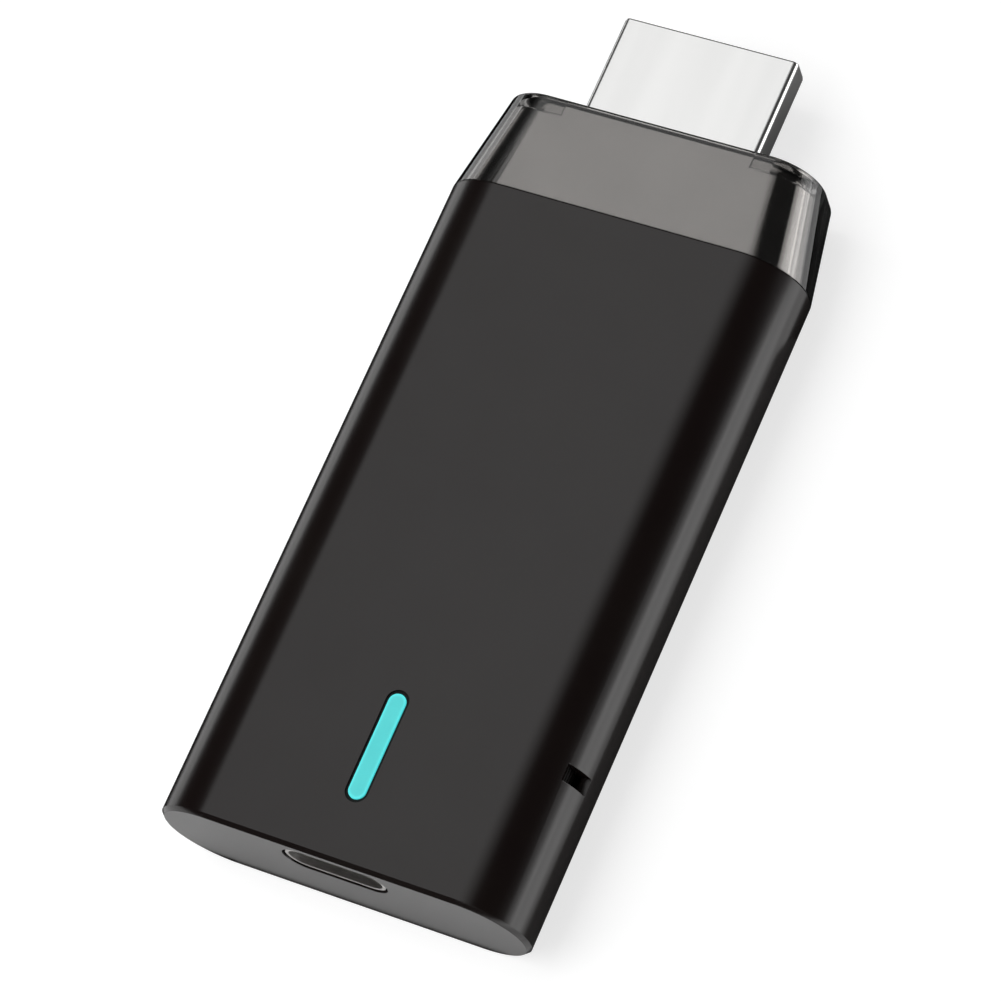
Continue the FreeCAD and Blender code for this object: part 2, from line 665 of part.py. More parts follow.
def make_board():
    wide = block(-BOARD_HALF_WIDTH, BOARD_HALF_WIDTH, BOARD_START, BOARD_SHOULDER, BOARD_BOTTOM, BOARD_TOP)
    nose = block(-BOARD_NOSE_HALF_WIDTH, BOARD_NOSE_HALF_WIDTH, BOARD_SHOULDER - 1,
                 CAP_TOP - PLUG_IN_BODY - 0.1, BOARD_BOTTOM, BOARD_TOP)
    board = join([wide, nose])
    outer = PORT_HOLE_WIDTH / 2 - PORT_GAP
    for side, y in leg_places():
        x0, x1 = sorted((side * (outer + 0.1), side * (outer - PORT_WALL - 0.1)))
        reach = LEG_WIDTH / 2 + 0.1
        board = board.cut(block(x0, x1, y - reach, y + reach, 0, BODY_THICKNESS))
    hole_x = BOARD_HALF_WIDTH - BOARD_HOLE_INSET
    far_y = BOARD_SHOULDER - BOARD_HOLE_INSET
    for x, y in ((-hole_x, BOARD_START + 2 * BOARD_HOLE_INSET), (-hole_x, far_y), (hole_x, far_y)):
        centre = FreeCAD.Vector(x, END_Y + y, 0)
        board = board.cut(Part.makeCylinder(BOARD_HOLE_RADIUS, BODY_THICKNESS, centre))
    mid = BOARD_SHOULDER / 2
    edge_notch = block(-BOARD_HALF_WIDTH, 1 - BOARD_HALF_WIDTH, mid - 0.8, mid + 0.8, 0, BODY_THICKNESS)
    half = GUIDE_WIDTH / 2
    key_relief = block(RAIL_INNER, BOARD_HALF_WIDTH, NOTCH_CENTRE - half, NOTCH_CENTRE + half,
                       0, BODY_THICKNESS)
    return board.cut(edge_notch).cut(key_relief)


def make_processor():
    return soft_chip(PROCESSOR_WIDTH, PROCESSOR_WIDTH, -PROCESSOR_HEIGHT, 0, PROCESSOR_Y, BOARD_BOTTOM)


def make_thermal_pad():
    half = PROCESSOR_WIDTH / 2 - 3 * CHIP_EDGE
    top = BOARD_BOTTOM - PROCESSOR_HEIGHT
    return block(-half, half, PROCESSOR_Y - half, PROCESSOR_Y + half, top - PAD_HEIGHT, top)


def make_heat_spreader():
    """Plate under the pad with low ribs down to the back wall."""
    top = BOARD_BOTTOM - PROCESSOR_HEIGHT - PAD_HEIGHT
    hx, hy = SPREADER_WIDTH / 2, SPREADER_LENGTH / 2
    pieces = [block(-hx, hx, PROCESSOR_Y - hy, PROCESSOR_Y + hy, top - SPREADER_THICKNESS, top)]
    for i in range(SPREADER_RIBS):
        x = -hx + i * (SPREADER_WIDTH - SPREADER_THICKNESS) / (SPREADER_RIBS - 1)
        pieces.append(block(x, x + SPREADER_THICKNESS, PROCESSOR_Y - hy, PROCESSOR_Y + hy, WALL, top))
    return join(pieces)


def make_memory():
    return soft_chip(MEMORY_WIDTH, MEMORY_LENGTH, MEMORY_HEIGHT, 0, MEMORY_Y, BOARD_TOP)


def make_radio_module():
    """Small plate with notched edges and the chips that the can covers."""
    half = RADIO_WIDTH / 2
    z = BOARD_TOP + RADIO_PLATE
    plate = block(RADIO_X - half, RADIO_X + half, RADIO_Y - half, RADIO_Y + half, BOARD_TOP, z)
    chip = soft_chip(RADIO_CHIP_WIDTH, RADIO_CHIP_WIDTH, RADIO_CHIP_HEIGHT, RADIO_X, RADIO_Y, z)
    filter_chip = soft_chip(RADIO_CHIP_WIDTH * 0.4, RADIO_CHIP_WIDTH * 0.25, RADIO_CHIP_HEIGHT * 0.6,
                            RADIO_X + RADIO_CHIP_WIDTH * 0.4, RADIO_Y + RADIO_CHIP_WIDTH * 0.8, z)
    body = join([plate, chip, filter_chip])
    bite = RADIO_PAD_BITE
    for i in range(7):
        y = RADIO_Y + (i - 3) * RADIO_PAD_PITCH
        for x in (RADIO_X - half, RADIO_X + half):
            body = body.cut(block(x - bite, x + bite, y - bite, y + bite, BOARD_TOP, z))
    return body


def make_radio_shield():
    """Open-bottomed can with folded edges and a grid of small holes."""
    half = RADIO_WIDTH / 2 - SHIELD_INSET
    z0 = BOARD_TOP + RADIO_PLATE
    z1 = z0 + SHIELD_HEIGHT
    outer = block(RADIO_X - half, RADIO_X + half, RADIO_Y - half, RADIO_Y + half, z0, z1)
    outer = outer.makeChamfer(SHIELD_WALL, edges_at(outer, z=z1))
    inner = half - SHIELD_WALL
    can = outer.cut(block(RADIO_X - inner, RADIO_X + inner, RADIO_Y - inner, RADIO_Y + inner,
                          z0, z1 - SHIELD_WALL))
    for i in range(3):
        for j in range(3):
            x = RADIO_X + (i - 1) * SHIELD_HOLE_PITCH
            y = RADIO_Y + (j - 1) * SHIELD_HOLE_PITCH
            hole = Part.makeCylinder(SHIELD_HOLE_RADIUS, SHIELD_HEIGHT, FreeCAD.Vector(x, END_Y + y, z0))
            can = can.cut(hole)
    return can


def make_antenna():
    """Long ceramic chip with a metal pad round each end."""
    body = soft_chip(ANTENNA_WIDTH, ANTENNA_LENGTH, ANTENNA_HEIGHT, EDGE_PARTS, ANTENNA_Y, BOARD_TOP)
    half = ANTENNA_WIDTH / 2 + 0.05
    pads = []
    for side in (-1, 1):
        end = ANTENNA_Y + side * (ANTENNA_LENGTH / 2 + 0.05)
        y0, y1 = sorted((end, end - side * ANTENNA_PAD))
        pads.append(block(EDGE_PARTS - half, EDGE_PARTS + half, y0, y1,
                          BOARD_TOP, BOARD_TOP + ANTENNA_HEIGHT + 0.05))
    return join([body] + pads)


def make_crystal():
    return soft_chip(CRYSTAL_WIDTH, CRYSTAL_LENGTH, CRYSTAL_HEIGHT, EDGE_PARTS, CRYSTAL_Y, BOARD_TOP)


def make_inductor():
    """Square foot with a round wound core between two flanges."""
    half = INDUCTOR_WIDTH / 2
    x = -EDGE_PARTS
    base = block(x - half, x + half, INDUCTOR_Y - half, INDUCTOR_Y + half,
                 BOARD_BOTTOM - INDUCTOR_BASE, BOARD_BOTTOM)
    low = FreeCAD.Vector(x, END_Y + INDUCTOR_Y, BOARD_BOTTOM - INDUCTOR_HEIGHT)
    core = Part.makeCylinder(half * 0.9, INDUCTOR_HEIGHT - INDUCTOR_BASE, low)
    ring = Part.makeCylinder(half, INDUCTOR_BASE * 0.8, low)
    return join([base, core, ring])


def make_regulator():
    body = soft_chip(REGULATOR_WIDTH, REGULATOR_WIDTH, -REGULATOR_HEIGHT,
                     REGULATOR_X, INDUCTOR_Y, BOARD_BOTTOM)
    reach = REGULATOR_WIDTH / 2 + PIN_REACH
    pins = []
    for i in range(4):
        y = INDUCTOR_Y + (i - 1.5) * PIN_PITCH
        pins.append(block(REGULATOR_X - reach, REGULATOR_X + reach, y - PIN_WIDTH / 2, y + PIN_WIDTH / 2,
                          BOARD_BOTTOM - PIN_HEIGHT, BOARD_BOTTOM))
    return join([body] + pins)


def two_terminal(length, width, height, x, y, face, side, turned):
    """Small part with end caps a little thicker than its body."""
    a, b = (width, length) if turned else (length, width)
    z0, z1 = sorted((face, face + side * height))
    body = block(x - a / 2, x + a / 2, y - b / 2, y + b / 2, z0, z1)
    cap = length * 0.22
    out = [body]
    lift = 0.03
    for end in (-1, 1):
        centre = end * (length / 2 - cap / 2)
        cx, cy = (x, y + centre) if turned else (x + centre, y)
        sx, sy = (width / 2 + lift, cap / 2) if turned else (cap / 2, width / 2 + lift)
        w0, w1 = sorted((face, face + side * (height + lift)))
        out.append(block(cx - sx, cx + sx, cy - sy, cy + sy, w0, w1))
    return join(out)


def make_capacitors():
    """A column of small ones by the board's edge and three larger ones underneath."""
    out = []
    for i in range(4):
        y = MEMORY_Y + (i - 2) * CAPACITOR_PITCH
        out.append(two_terminal(CAPACITOR_LENGTH, CAPACITOR_WIDTH, CAPACITOR_WIDTH,
                                -EDGE_PARTS, y, BOARD_TOP, 1, False))
    for i in range(3):
        x = EDGE_PARTS - i * BIG_CAPACITOR_PITCH
        out.append(two_terminal(BIG_CAPACITOR_LENGTH, BIG_CAPACITOR_WIDTH, BIG_CAPACITOR_WIDTH,
                                x, INDUCTOR_Y, BOARD_BOTTOM, -1, True))
    return Part.makeCompound(out)


def make_resistors():
    """A column by the board's edge and a row beside the light bar's foot."""
    out = []
    for i in range(5):
        y = MEMORY_Y + (i - 2) * RESISTOR_PITCH
        out.append(two_terminal(RESISTOR_LENGTH, RESISTOR_WIDTH, RESISTOR_HEIGHT,
                                EDGE_PARTS, y, BOARD_TOP, 1, False))
    for side in (-1, 1):
        for i in (1, 2):
            x = side * i * RESISTOR_PITCH
            out.append(two_terminal(RESISTOR_LENGTH, RESISTOR_WIDTH, RESISTOR_HEIGHT,
                                    x, FOOT_CENTRE + 1, BOARD_TOP, 1, True))
    return Part.makeCompound(out)


def main():
    save("housing", make_housing())
    save("nose_cap", make_nose_cap())
    save("plug_carrier", make_carrier())
    save("plug_shell", make_plug_shell())
    save("plug_insulator", make_insulator())
    for name, side, places in contact_rows():
        save("plug_contacts_" + name, Part.makeCompound([contact(x, side) for x in places]))
    save("light_bar", make_light_bar())
    save("light_gasket", make_gasket())
    save("status_lights", make_leds())
    save("port_shell", make_port_shell())
    save("port_tongue", make_port_tongue())
    save("port_contacts", make_port_contacts())
    save("side_key", make_side_key())
    save("switch_body", make_switch_body())
    save("switch_plunger", make_switch_plunger())
    save("switch_terminals", make_switch_terminals())
    save("main_board", make_board())
    save("processor", make_processor())
    save("thermal_pad", make_thermal_pad())
    save("heat_spreader", make_heat_spreader())
    save("memory_chip", make_memory())
    save("radio_module", make_radio_module())
    save("radio_shield", make_radio_shield())
    save("chip_antenna", make_antenna())
    save("crystal", make_crystal())
    save("power_inductor", make_inductor())
    save("power_regulator", make_regulator())
    save("capacitors", make_capacitors())
    save("resistors", make_resistors())


main()
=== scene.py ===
"""Looks of the wireless display adapter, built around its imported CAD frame.

The row frame is used throughout: +Z is the front face, +Y the plug end, +X the side with the
notch. Sizes are written in millimetres and turned to metres by MM.
"""

import json
import logging
import math
from dataclasses import dataclass, field
from enum import Enum
from typing import Callable, Dict, List, Mapping, Optional, Sequence, Tuple, Union

import bmesh
import bpy
from mathutils import Matrix, Vector


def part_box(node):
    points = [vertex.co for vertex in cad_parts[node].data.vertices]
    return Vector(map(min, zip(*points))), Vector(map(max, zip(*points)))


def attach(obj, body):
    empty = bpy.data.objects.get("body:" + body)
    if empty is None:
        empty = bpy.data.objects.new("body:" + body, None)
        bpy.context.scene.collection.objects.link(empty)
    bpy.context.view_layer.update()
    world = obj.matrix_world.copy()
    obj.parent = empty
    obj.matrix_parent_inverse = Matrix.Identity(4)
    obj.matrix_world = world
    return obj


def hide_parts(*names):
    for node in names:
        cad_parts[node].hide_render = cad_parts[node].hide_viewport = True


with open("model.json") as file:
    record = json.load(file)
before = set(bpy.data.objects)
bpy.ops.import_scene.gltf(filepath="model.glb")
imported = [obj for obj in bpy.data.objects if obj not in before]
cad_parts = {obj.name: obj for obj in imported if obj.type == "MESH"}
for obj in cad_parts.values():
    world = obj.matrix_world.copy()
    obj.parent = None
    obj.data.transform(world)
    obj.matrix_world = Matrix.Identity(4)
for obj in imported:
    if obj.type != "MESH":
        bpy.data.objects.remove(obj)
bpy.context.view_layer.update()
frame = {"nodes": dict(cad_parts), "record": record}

MM = 0.001

# Places closer than this, in millimetres, count as one place.
NEAR = 1e-3
# The two ends of an edge that runs along an axis differ by less than this across it.
STRAIGHT = 1e-4
# A face looks along an axis when its normal's part along it is more than this.
FACING = 0.9
# Cutters run this far past what they cut, in millimetres.
PAST = 1.0
# A fully rounded side stays this far short of half its width, so that no edge has zero length.
ROUND_TRACE = 0.002
# Flats per quarter turn of the fully rounded openings and of the light bar.
ROUND_SEGMENTS = 14
# Edges that turn by more than this angle, in radians, are rolled.
SHARP = 0.6
# Steps across and up that roll an end face, as shares of the roll's width.
CROWN_STEPS = ((0.3, 0.7), (0.7, 0.3))
# Octaves of noise in the clouds, the wear and the grain.
CLOUD_DETAIL, WEAR_DETAIL, GRAIN_DETAIL = 3.0, 4.0, 2.0
# Noise levels between which the second tone comes in, and between which the gloss swings.
CLOUD_SPREAD = (0.35, 0.68)
WEAR_SPREAD = (0.3, 0.7)
WHITE = (1, 1, 1, 1)

Point = Tuple[float, float, float]
Pair = Tuple[float, float]
Socket = Union[str, int]
Tree = bpy.types.NodeTree
Output = bpy.types.NodeSocket
Thing = bpy.types.Object
Test = Callable[[Vector, Vector], bool]

log = logging.getLogger("adapter")


class Side(Enum):
    """The two ends of an axis."""

    LOW = -1
    HIGH = 1


class Brush(Enum):
    """Direction of the fine lines that a finish leaves, as a stretch of its pattern."""

    NONE = (1.0, 1.0, 1.0)
    ALONG = (1.0, 0.04, 1.0)
    ACROSS = (0.04, 1.0, 1.0)


class Edge(Enum):
    """How far a moulded or cut edge is softened, in millimetres."""

    FINE = 0.02
    MOULDED = 0.035
    CAST = 0.06


# Node trees


def linear(code: str) -> Tuple[float, float, float, float]:
    """Turns an sRGB hex colour to linear light.

    Args:
        code: Six hex digits.

    Returns:
        Red, green, blue and a full alpha.
    """
    out = []
    for i in (0, 2, 4):
        value = int(code[i:i + 2], 16) / 255
        out.append(value / 12.92 if value <= 0.04045 else ((value + 0.055) / 1.055) ** 2.4)
    return out[0], out[1], out[2], 1.0


def empty_tree(owner: bpy.types.ID) -> Tree:
    """Turns on the nodes of a material, a lamp or the world, and clears them.

    Args:
        owner: What has the tree.

    Returns:
        The empty tree.
    """
    owner.use_nodes = True
    owner.node_tree.nodes.clear()
    return owner.node_tree


def add_node(
    tree: Tree,
    kind: str,
    values: Optional[Mapping[Socket, object]] = None,
    **options: object,
) -> bpy.types.Node:
    """Adds one node with its settings and links.

    Args:
        tree: The tree that gets the node.
        kind: The node's type.
        values: Input name or number to a value, or to the output socket that feeds it.
        options: Properties of the node itself.

    Returns:
        The new node.
    """
    node = tree.nodes.new(kind)
    for name, value in options.items():
        setattr(node, name, value)
    for key, value in (values or {}).items():
        if isinstance(value, Output):
            tree.links.new(value, node.inputs[key])
        else:
            node.inputs[key].default_value = value
    return node


# Finishes


@dataclass(frozen=True)
class Finish:
    """A surface with a fine grain, slow clouds of a second tone, and its own gloss.

    The grain and cloud sizes are real sizes in millimetres.
    """

    name: str
    tone: str
    second_tone: str
    roughness: float
    roughness_swing: float
    grain: float
    grain_height: float
    cloud: float
    metallic: float = 0.0
    ior: float = 1.5
    brush: Brush = Brush.NONE

    def pattern(self, tree: Tree, size: float, detail: float) -> Output:
        """Noise whose features have a real size.

        Args:
            tree: The material's tree.
            size: Size of one feature in millimetres.
            detail: Octaves of finer noise.

        Returns:
            The noise value socket.
        """
        place = add_node(tree, "ShaderNodeTexCoord").outputs["Object"]
        turned = add_node(tree, "ShaderNodeMapping", {"Vector": place, "Scale": self.brush.value})
        noise = add_node(tree, "ShaderNodeTexNoise", {
            "Vector": turned.outputs["Vector"], "Scale": 1 / (size * MM), "Detail": detail})
        return noise.outputs["Fac"]

    def colour(self, tree: Tree) -> Output:
        """Blend of the two tones in slow clouds.

        Args:
            tree: The material's tree.

        Returns:
            The colour socket.
        """
        clouds = self.pattern(tree, self.cloud, CLOUD_DETAIL)
        ramp = add_node(tree, "ShaderNodeValToRGB", {"Fac": clouds})
        for i, tone in enumerate((self.tone, self.second_tone)):
            ramp.color_ramp.elements[i].position = CLOUD_SPREAD[i]
            ramp.color_ramp.elements[i].color = linear(tone)
        return ramp.outputs["Color"]

    def gloss(self, tree: Tree) -> Output:
        """Roughness that varies with wear and handling."""
        spread = add_node(tree, "ShaderNodeMapRange", {
            "Value": self.pattern(tree, self.cloud / 2, WEAR_DETAIL),
            "From Min": WEAR_SPREAD[0], "From Max": WEAR_SPREAD[1],
            "To Min": self.roughness - self.roughness_swing / 2,
            "To Max": self.roughness + self.roughness_swing / 2})
        return spread.outputs["Result"]

    def relief(self, tree: Tree) -> Output:
        """Fine grain as a bump of real height."""
        bump = add_node(tree, "ShaderNodeBump", {
            "Height": self.pattern(tree, self.grain, GRAIN_DETAIL),
            "Distance": self.grain_height * MM, "Strength": 1.0})
        return bump.outputs["Normal"]

    def sockets(self, tree: Tree) -> Dict[Socket, object]:
        """Everything the shader of this finish is given."""
        return {
            "Base Color": self.colour(tree),
            "Roughness": self.gloss(tree),
            "Normal": self.relief(tree),
            "Metallic": self.metallic,
            "IOR": self.ior,
        }

    def material(self) -> bpy.types.Material:
        """The finished node material, made once and then reused.

        Returns:
            The material.
        """
        made = bpy.data.materials.get(self.name)
        if made is None:
            made = bpy.data.materials.new(self.name)
            tree = empty_tree(made)
            shader = add_node(tree, "ShaderNodeBsdfPrincipled", self.sockets(tree))
            ends: Dict[Socket, object] = {"Surface": shader.outputs["BSDF"]}
            ends.update(self.filling(tree))
            add_node(tree, "ShaderNodeOutputMaterial", ends)
        return made

    def filling(self, tree: Tree) -> Dict[Socket, object]:
        """What the inside of the piece does to light; nothing for a surface that stops it."""
        return {}


@dataclass(frozen=True)
class ClearFinish(Finish):
    """A see-through plastic that darkens with its thickness.

    The depth is how far light goes in, in millimetres, before about a third is left.
    """

    stain: str = "000000"
    depth: float = 5.0

    def sockets(self, tree: Tree) -> Dict[Socket, object]:
        """The plain finish's sockets, with light passing through."""
        return {**super().sockets(tree), "Transmission Weight": 1.0}

    def filling(self, tree: Tree) -> Dict[Socket, object]:
        """Stain that takes light away along its path through the piece."""
        stain = add_node(tree, "ShaderNodeVolumeAbsorption", {
            "Color": linear(self.stain), "Density": 1 / (self.depth * MM)})
        return {"Volume": stain.outputs["Volume"]}


@dataclass(frozen=True)
class LitFinish(Finish):
    """A long diffuser lit from behind, whose rim glows more than its middle.

    The middle line runs between two points, and the rim starts at a distance from it, in
    millimetres.
    """

    glow: str = "ffffff"
    rim_glow: str = "ffffff"
    strength: float = 0.5
    line: Tuple[Point, Point] = ((0, 0, 0), (0, 0, 0))
    rim: Pair = (0.5, 0.6)

    def light(self, tree: Tree) -> Output:
        """Glow colour by the distance from the middle line.

        Args:
            tree: The material's tree.

        Returns:
            The colour socket.
        """
        place = add_node(tree, "ShaderNodeTexCoord").outputs["Object"]
        near = place
        for point, operation in zip(self.line, ("MAXIMUM", "MINIMUM")):
            near = add_node(tree, "ShaderNodeVectorMath", {0: near, 1: [v * MM for v in point]},
                            operation=operation).outputs[0]
        away = add_node(tree, "ShaderNodeVectorMath", {0: place, 1: near}, operation="DISTANCE")
        part = add_node(tree, "ShaderNodeMapRange", {
            "Value": away.outputs["Value"],
            "From Min": self.rim[0] * MM, "From Max": self.rim[1] * MM})
        ramp = add_node(tree, "ShaderNodeValToRGB", {"Fac": part.outputs["Result"]})
        ramp.color_ramp.elements[0].color = linear(self.glow)
        ramp.color_ramp.elements[1].color = linear(self.rim_glow)
        return ramp.outputs["Color"]

    def sockets(self, tree: Tree) -> Dict[Socket, object]:
        """The plain finish's sockets, with a glow of its own."""
        return {**super().sockets(tree), "Emission Color": self.light(tree),
                "Emission Strength": self.strength}


@dataclass(frozen=True)
class MaskFinish(Finish):
    """Solder mask over copper tracks, which show as paler lines.

    The length and the shift of a track are given in pitches.
    """

    track: str = "2f8a52"
    track_pitch: float = 1.1
    track_width: float = 0.08
    track_blur: float = 0.1
    track_length: float = 3.4
    track_shift: float = 0.37

    def colour(self, tree: Tree) -> Output:
        """Mask colour with tracks in both directions."""
        tracks = add_node(tree, "ShaderNodeTexBrick", {
            "Vector": add_node(tree, "ShaderNodeTexCoord").outputs["Object"], "Scale": 1.0,
            "Color1": linear(self.tone), "Color2": linear(self.second_tone),
            "Mortar": linear(self.track), "Mortar Size": self.track_width * MM,
            "Mortar Smooth": self.track_blur,
            "Brick Width": self.track_length * self.track_pitch * MM,
            "Row Height": self.track_pitch * MM}, offset=self.track_shift)
        return tracks.outputs["Color"]


# Each finish has its name, two tones, its roughness and how far that swings, and then the grain's
# size, the grain's height and the clouds' size in millimetres.
SLOT_FINISHES: Dict[str, Finish] = {
    # Glossy ABS, polished mould: deep black with sharp reflections and a trace of flow marks.
    "housing_black": Finish("gloss_black_abs", "120b0a", "140e0c", 0.23, 0.03, 2.4, 0.0006, 9.0,
        ior=1.54),
    # Smoke polycarbonate, polished: clear over the carrier, and nearly black along the wall.
    "cap_smoke": ClearFinish("smoke_polycarbonate", "f8f7f6", "fbfaf9", 0.04, 0.02, 3.0, 0.0003,
        8.0, ior=1.58, stain="3a342e", depth=1.45),
    # Vacuum-metallised ABS: grey with a soft metal sheen.
    "carrier_grey": Finish("metallised_grey_abs", "e4e2e0", "e9e7e5", 0.1, 0.04, 0.5, 0.0004, 5.0,
        metallic=1.0),
    # Nickel-plated stamped steel: bright, with fine drawing lines along the plug.
    "plug_metal": Finish("nickel_plated_steel", "f4f4f3", "f8f8f7", 0.22, 0.06, 0.12, 0.0004, 3.0,
        metallic=1.0, brush=Brush.ALONG),
    # Liquid crystal polymer, moulded matt: dry black with a fine grain.
    "insulator_black": Finish("black_liquid_crystal_polymer", "1d1c1c", "262524", 0.55, 0.1, 0.12,
        0.003, 2.0),
    # Gold flash over copper alloy: warm and slightly streaked.
    "contact_gold": Finish("gold_flash_copper", "d9ae5a", "e3bf72", 0.25, 0.08, 0.1, 0.0005, 1.0,
        metallic=1.0, brush=Brush.ALONG),
    # Diffusing polycarbonate, lit: even turquoise with a brighter rim.
    "bar_turquoise": LitFinish("turquoise_diffuser_polycarbonate", "38a3a2", "3eaba9", 0.35, 0.05,
        0.15, 0.0006, 1.5, ior=1.58, glow="42cfd1", rim_glow="55f9fb",
        strength=0.56, line=((0, -28.8, 0), (0, -22.1, 10)),
        rim=(0.44, 0.6)),
    # Silicone rubber: matt black that swallows light.
    "gasket_black": Finish("black_silicone", "060505", "0a0909", 0.6, 0.1, 0.1, 0.002, 1.0),
    # Phosphor under a clear dome, unlit: pale yellow-white.
    "lamp_white": Finish("lamp_epoxy_white", "e6e2cf", "efe9c4", 0.2, 0.05, 0.2, 0.0005, 0.8),
    # Nickel-plated drawn steel: greyer than the plug, with lines along the draw.
    "port_metal": Finish("drawn_nickel_steel", "b2b0ae", "bebcba", 0.5, 0.08, 0.1, 0.0005, 1.2,
        metallic=1.0, brush=Brush.ALONG),
    # Glass-filled nylon: dark grey and matt.
    "tongue_grey": Finish("glass_filled_nylon", "4a4846", "545250", 0.5, 0.1, 0.1, 0.002, 1.0),
    # Satin ABS of the key: black, a little duller than the housing.
    "key_black": Finish("satin_black_abs", "0f0c0b", "141110", 0.38, 0.06, 0.15, 0.0015, 1.5),
    # Moulded nylon of the switch body: matt charcoal.
    "switch_black": Finish("charcoal_nylon", "2a2928", "333130", 0.5, 0.1, 0.1, 0.002, 0.8),
    # Acetal plunger: cream with a waxy shine.
    "plunger_cream": Finish("cream_acetal", "d8cfb8", "e0d8c4", 0.3, 0.08, 0.15, 0.001, 0.8),
    # Tin plate: soft grey metal with a cloudy bloom.
    "terminal_tin": Finish("tin_plate", "c4c3c1", "d2d1ce", 0.35, 0.12, 0.15, 0.0012, 0.9,
        metallic=1.0),
    # Solder mask over FR4: deep green with paler tracks.
    "board_green": MaskFinish("green_solder_mask", "0d4a2b", "10532f", 0.28, 0.06, 0.2, 0.002, 4.0),
    # Epoxy moulding compound of the chips: charcoal with fine sparkle.
    "chip_black": Finish("epoxy_moulding_compound", "242426", "2e2e30", 0.5, 0.12, 0.08, 0.0025,
        1.6),
    # Filled silicone pad: soft blue-grey, slightly oily.
    "pad_grey": Finish("filled_silicone_pad", "8d98a4", "a0aab4", 0.6, 0.15, 0.18, 0.006, 1.4),
    # Extruded aluminium, natural: pale metal with lines along the ribs.
    "spreader_aluminium": Finish("extruded_aluminium", "c9cacc", "d6d7d8", 0.3, 0.1, 0.12, 0.0012,
        2.0, metallic=1.0, brush=Brush.ALONG),
    # Solder mask of the radio carrier: blue with paler tracks.
    "radio_blue": MaskFinish("blue_solder_mask", "123a7a", "153f86", 0.28, 0.06, 0.2, 0.002, 3.0,
        track="2f62ad", track_pitch=0.9),
    # Fired alumina of the antenna: dry white.
    "antenna_white": Finish("fired_alumina", "dedcd2", "e8e6de", 0.55, 0.1, 0.1, 0.002, 1.2),
    # Welded steel can of the crystal: bright with a brushed top.
    "crystal_steel": Finish("brushed_steel_can", "c6c6c6", "d6d6d5", 0.28, 0.08, 0.1, 0.0008, 1.0,
        metallic=1.0, brush=Brush.ACROSS),
    # Sintered ferrite: dark and grainy.
    "ferrite_grey": Finish("sintered_ferrite", "3a3938", "454443", 0.6, 0.12, 0.14, 0.006, 0.9),
    # Barium titanate capacitors: tan ceramic.
    "capacitor_tan": Finish("tan_capacitor_ceramic", "8a6a48", "9b7a56", 0.4, 0.08, 0.12, 0.001,
        0.9),
    # Glassy resistor overcoat: near black.
    "resistor_black": Finish("resistor_overcoat", "1b1b1c", "262627", 0.35, 0.08, 0.1, 0.001, 0.6),
}
SLOT_FINISHES["shield_tin"] = SLOT_FINISHES["terminal_tin"]


# Shaping


def deselect() -> None:
    """Deselects every object."""
    for thing in list(bpy.context.selected_objects):
        thing.select_set(False)


def span(node: str) -> Tuple[Vector, Vector]:
    """Lowest and highest corners of a CAD node in millimetres."""
    low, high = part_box(node)
    return low / MM, high / MM


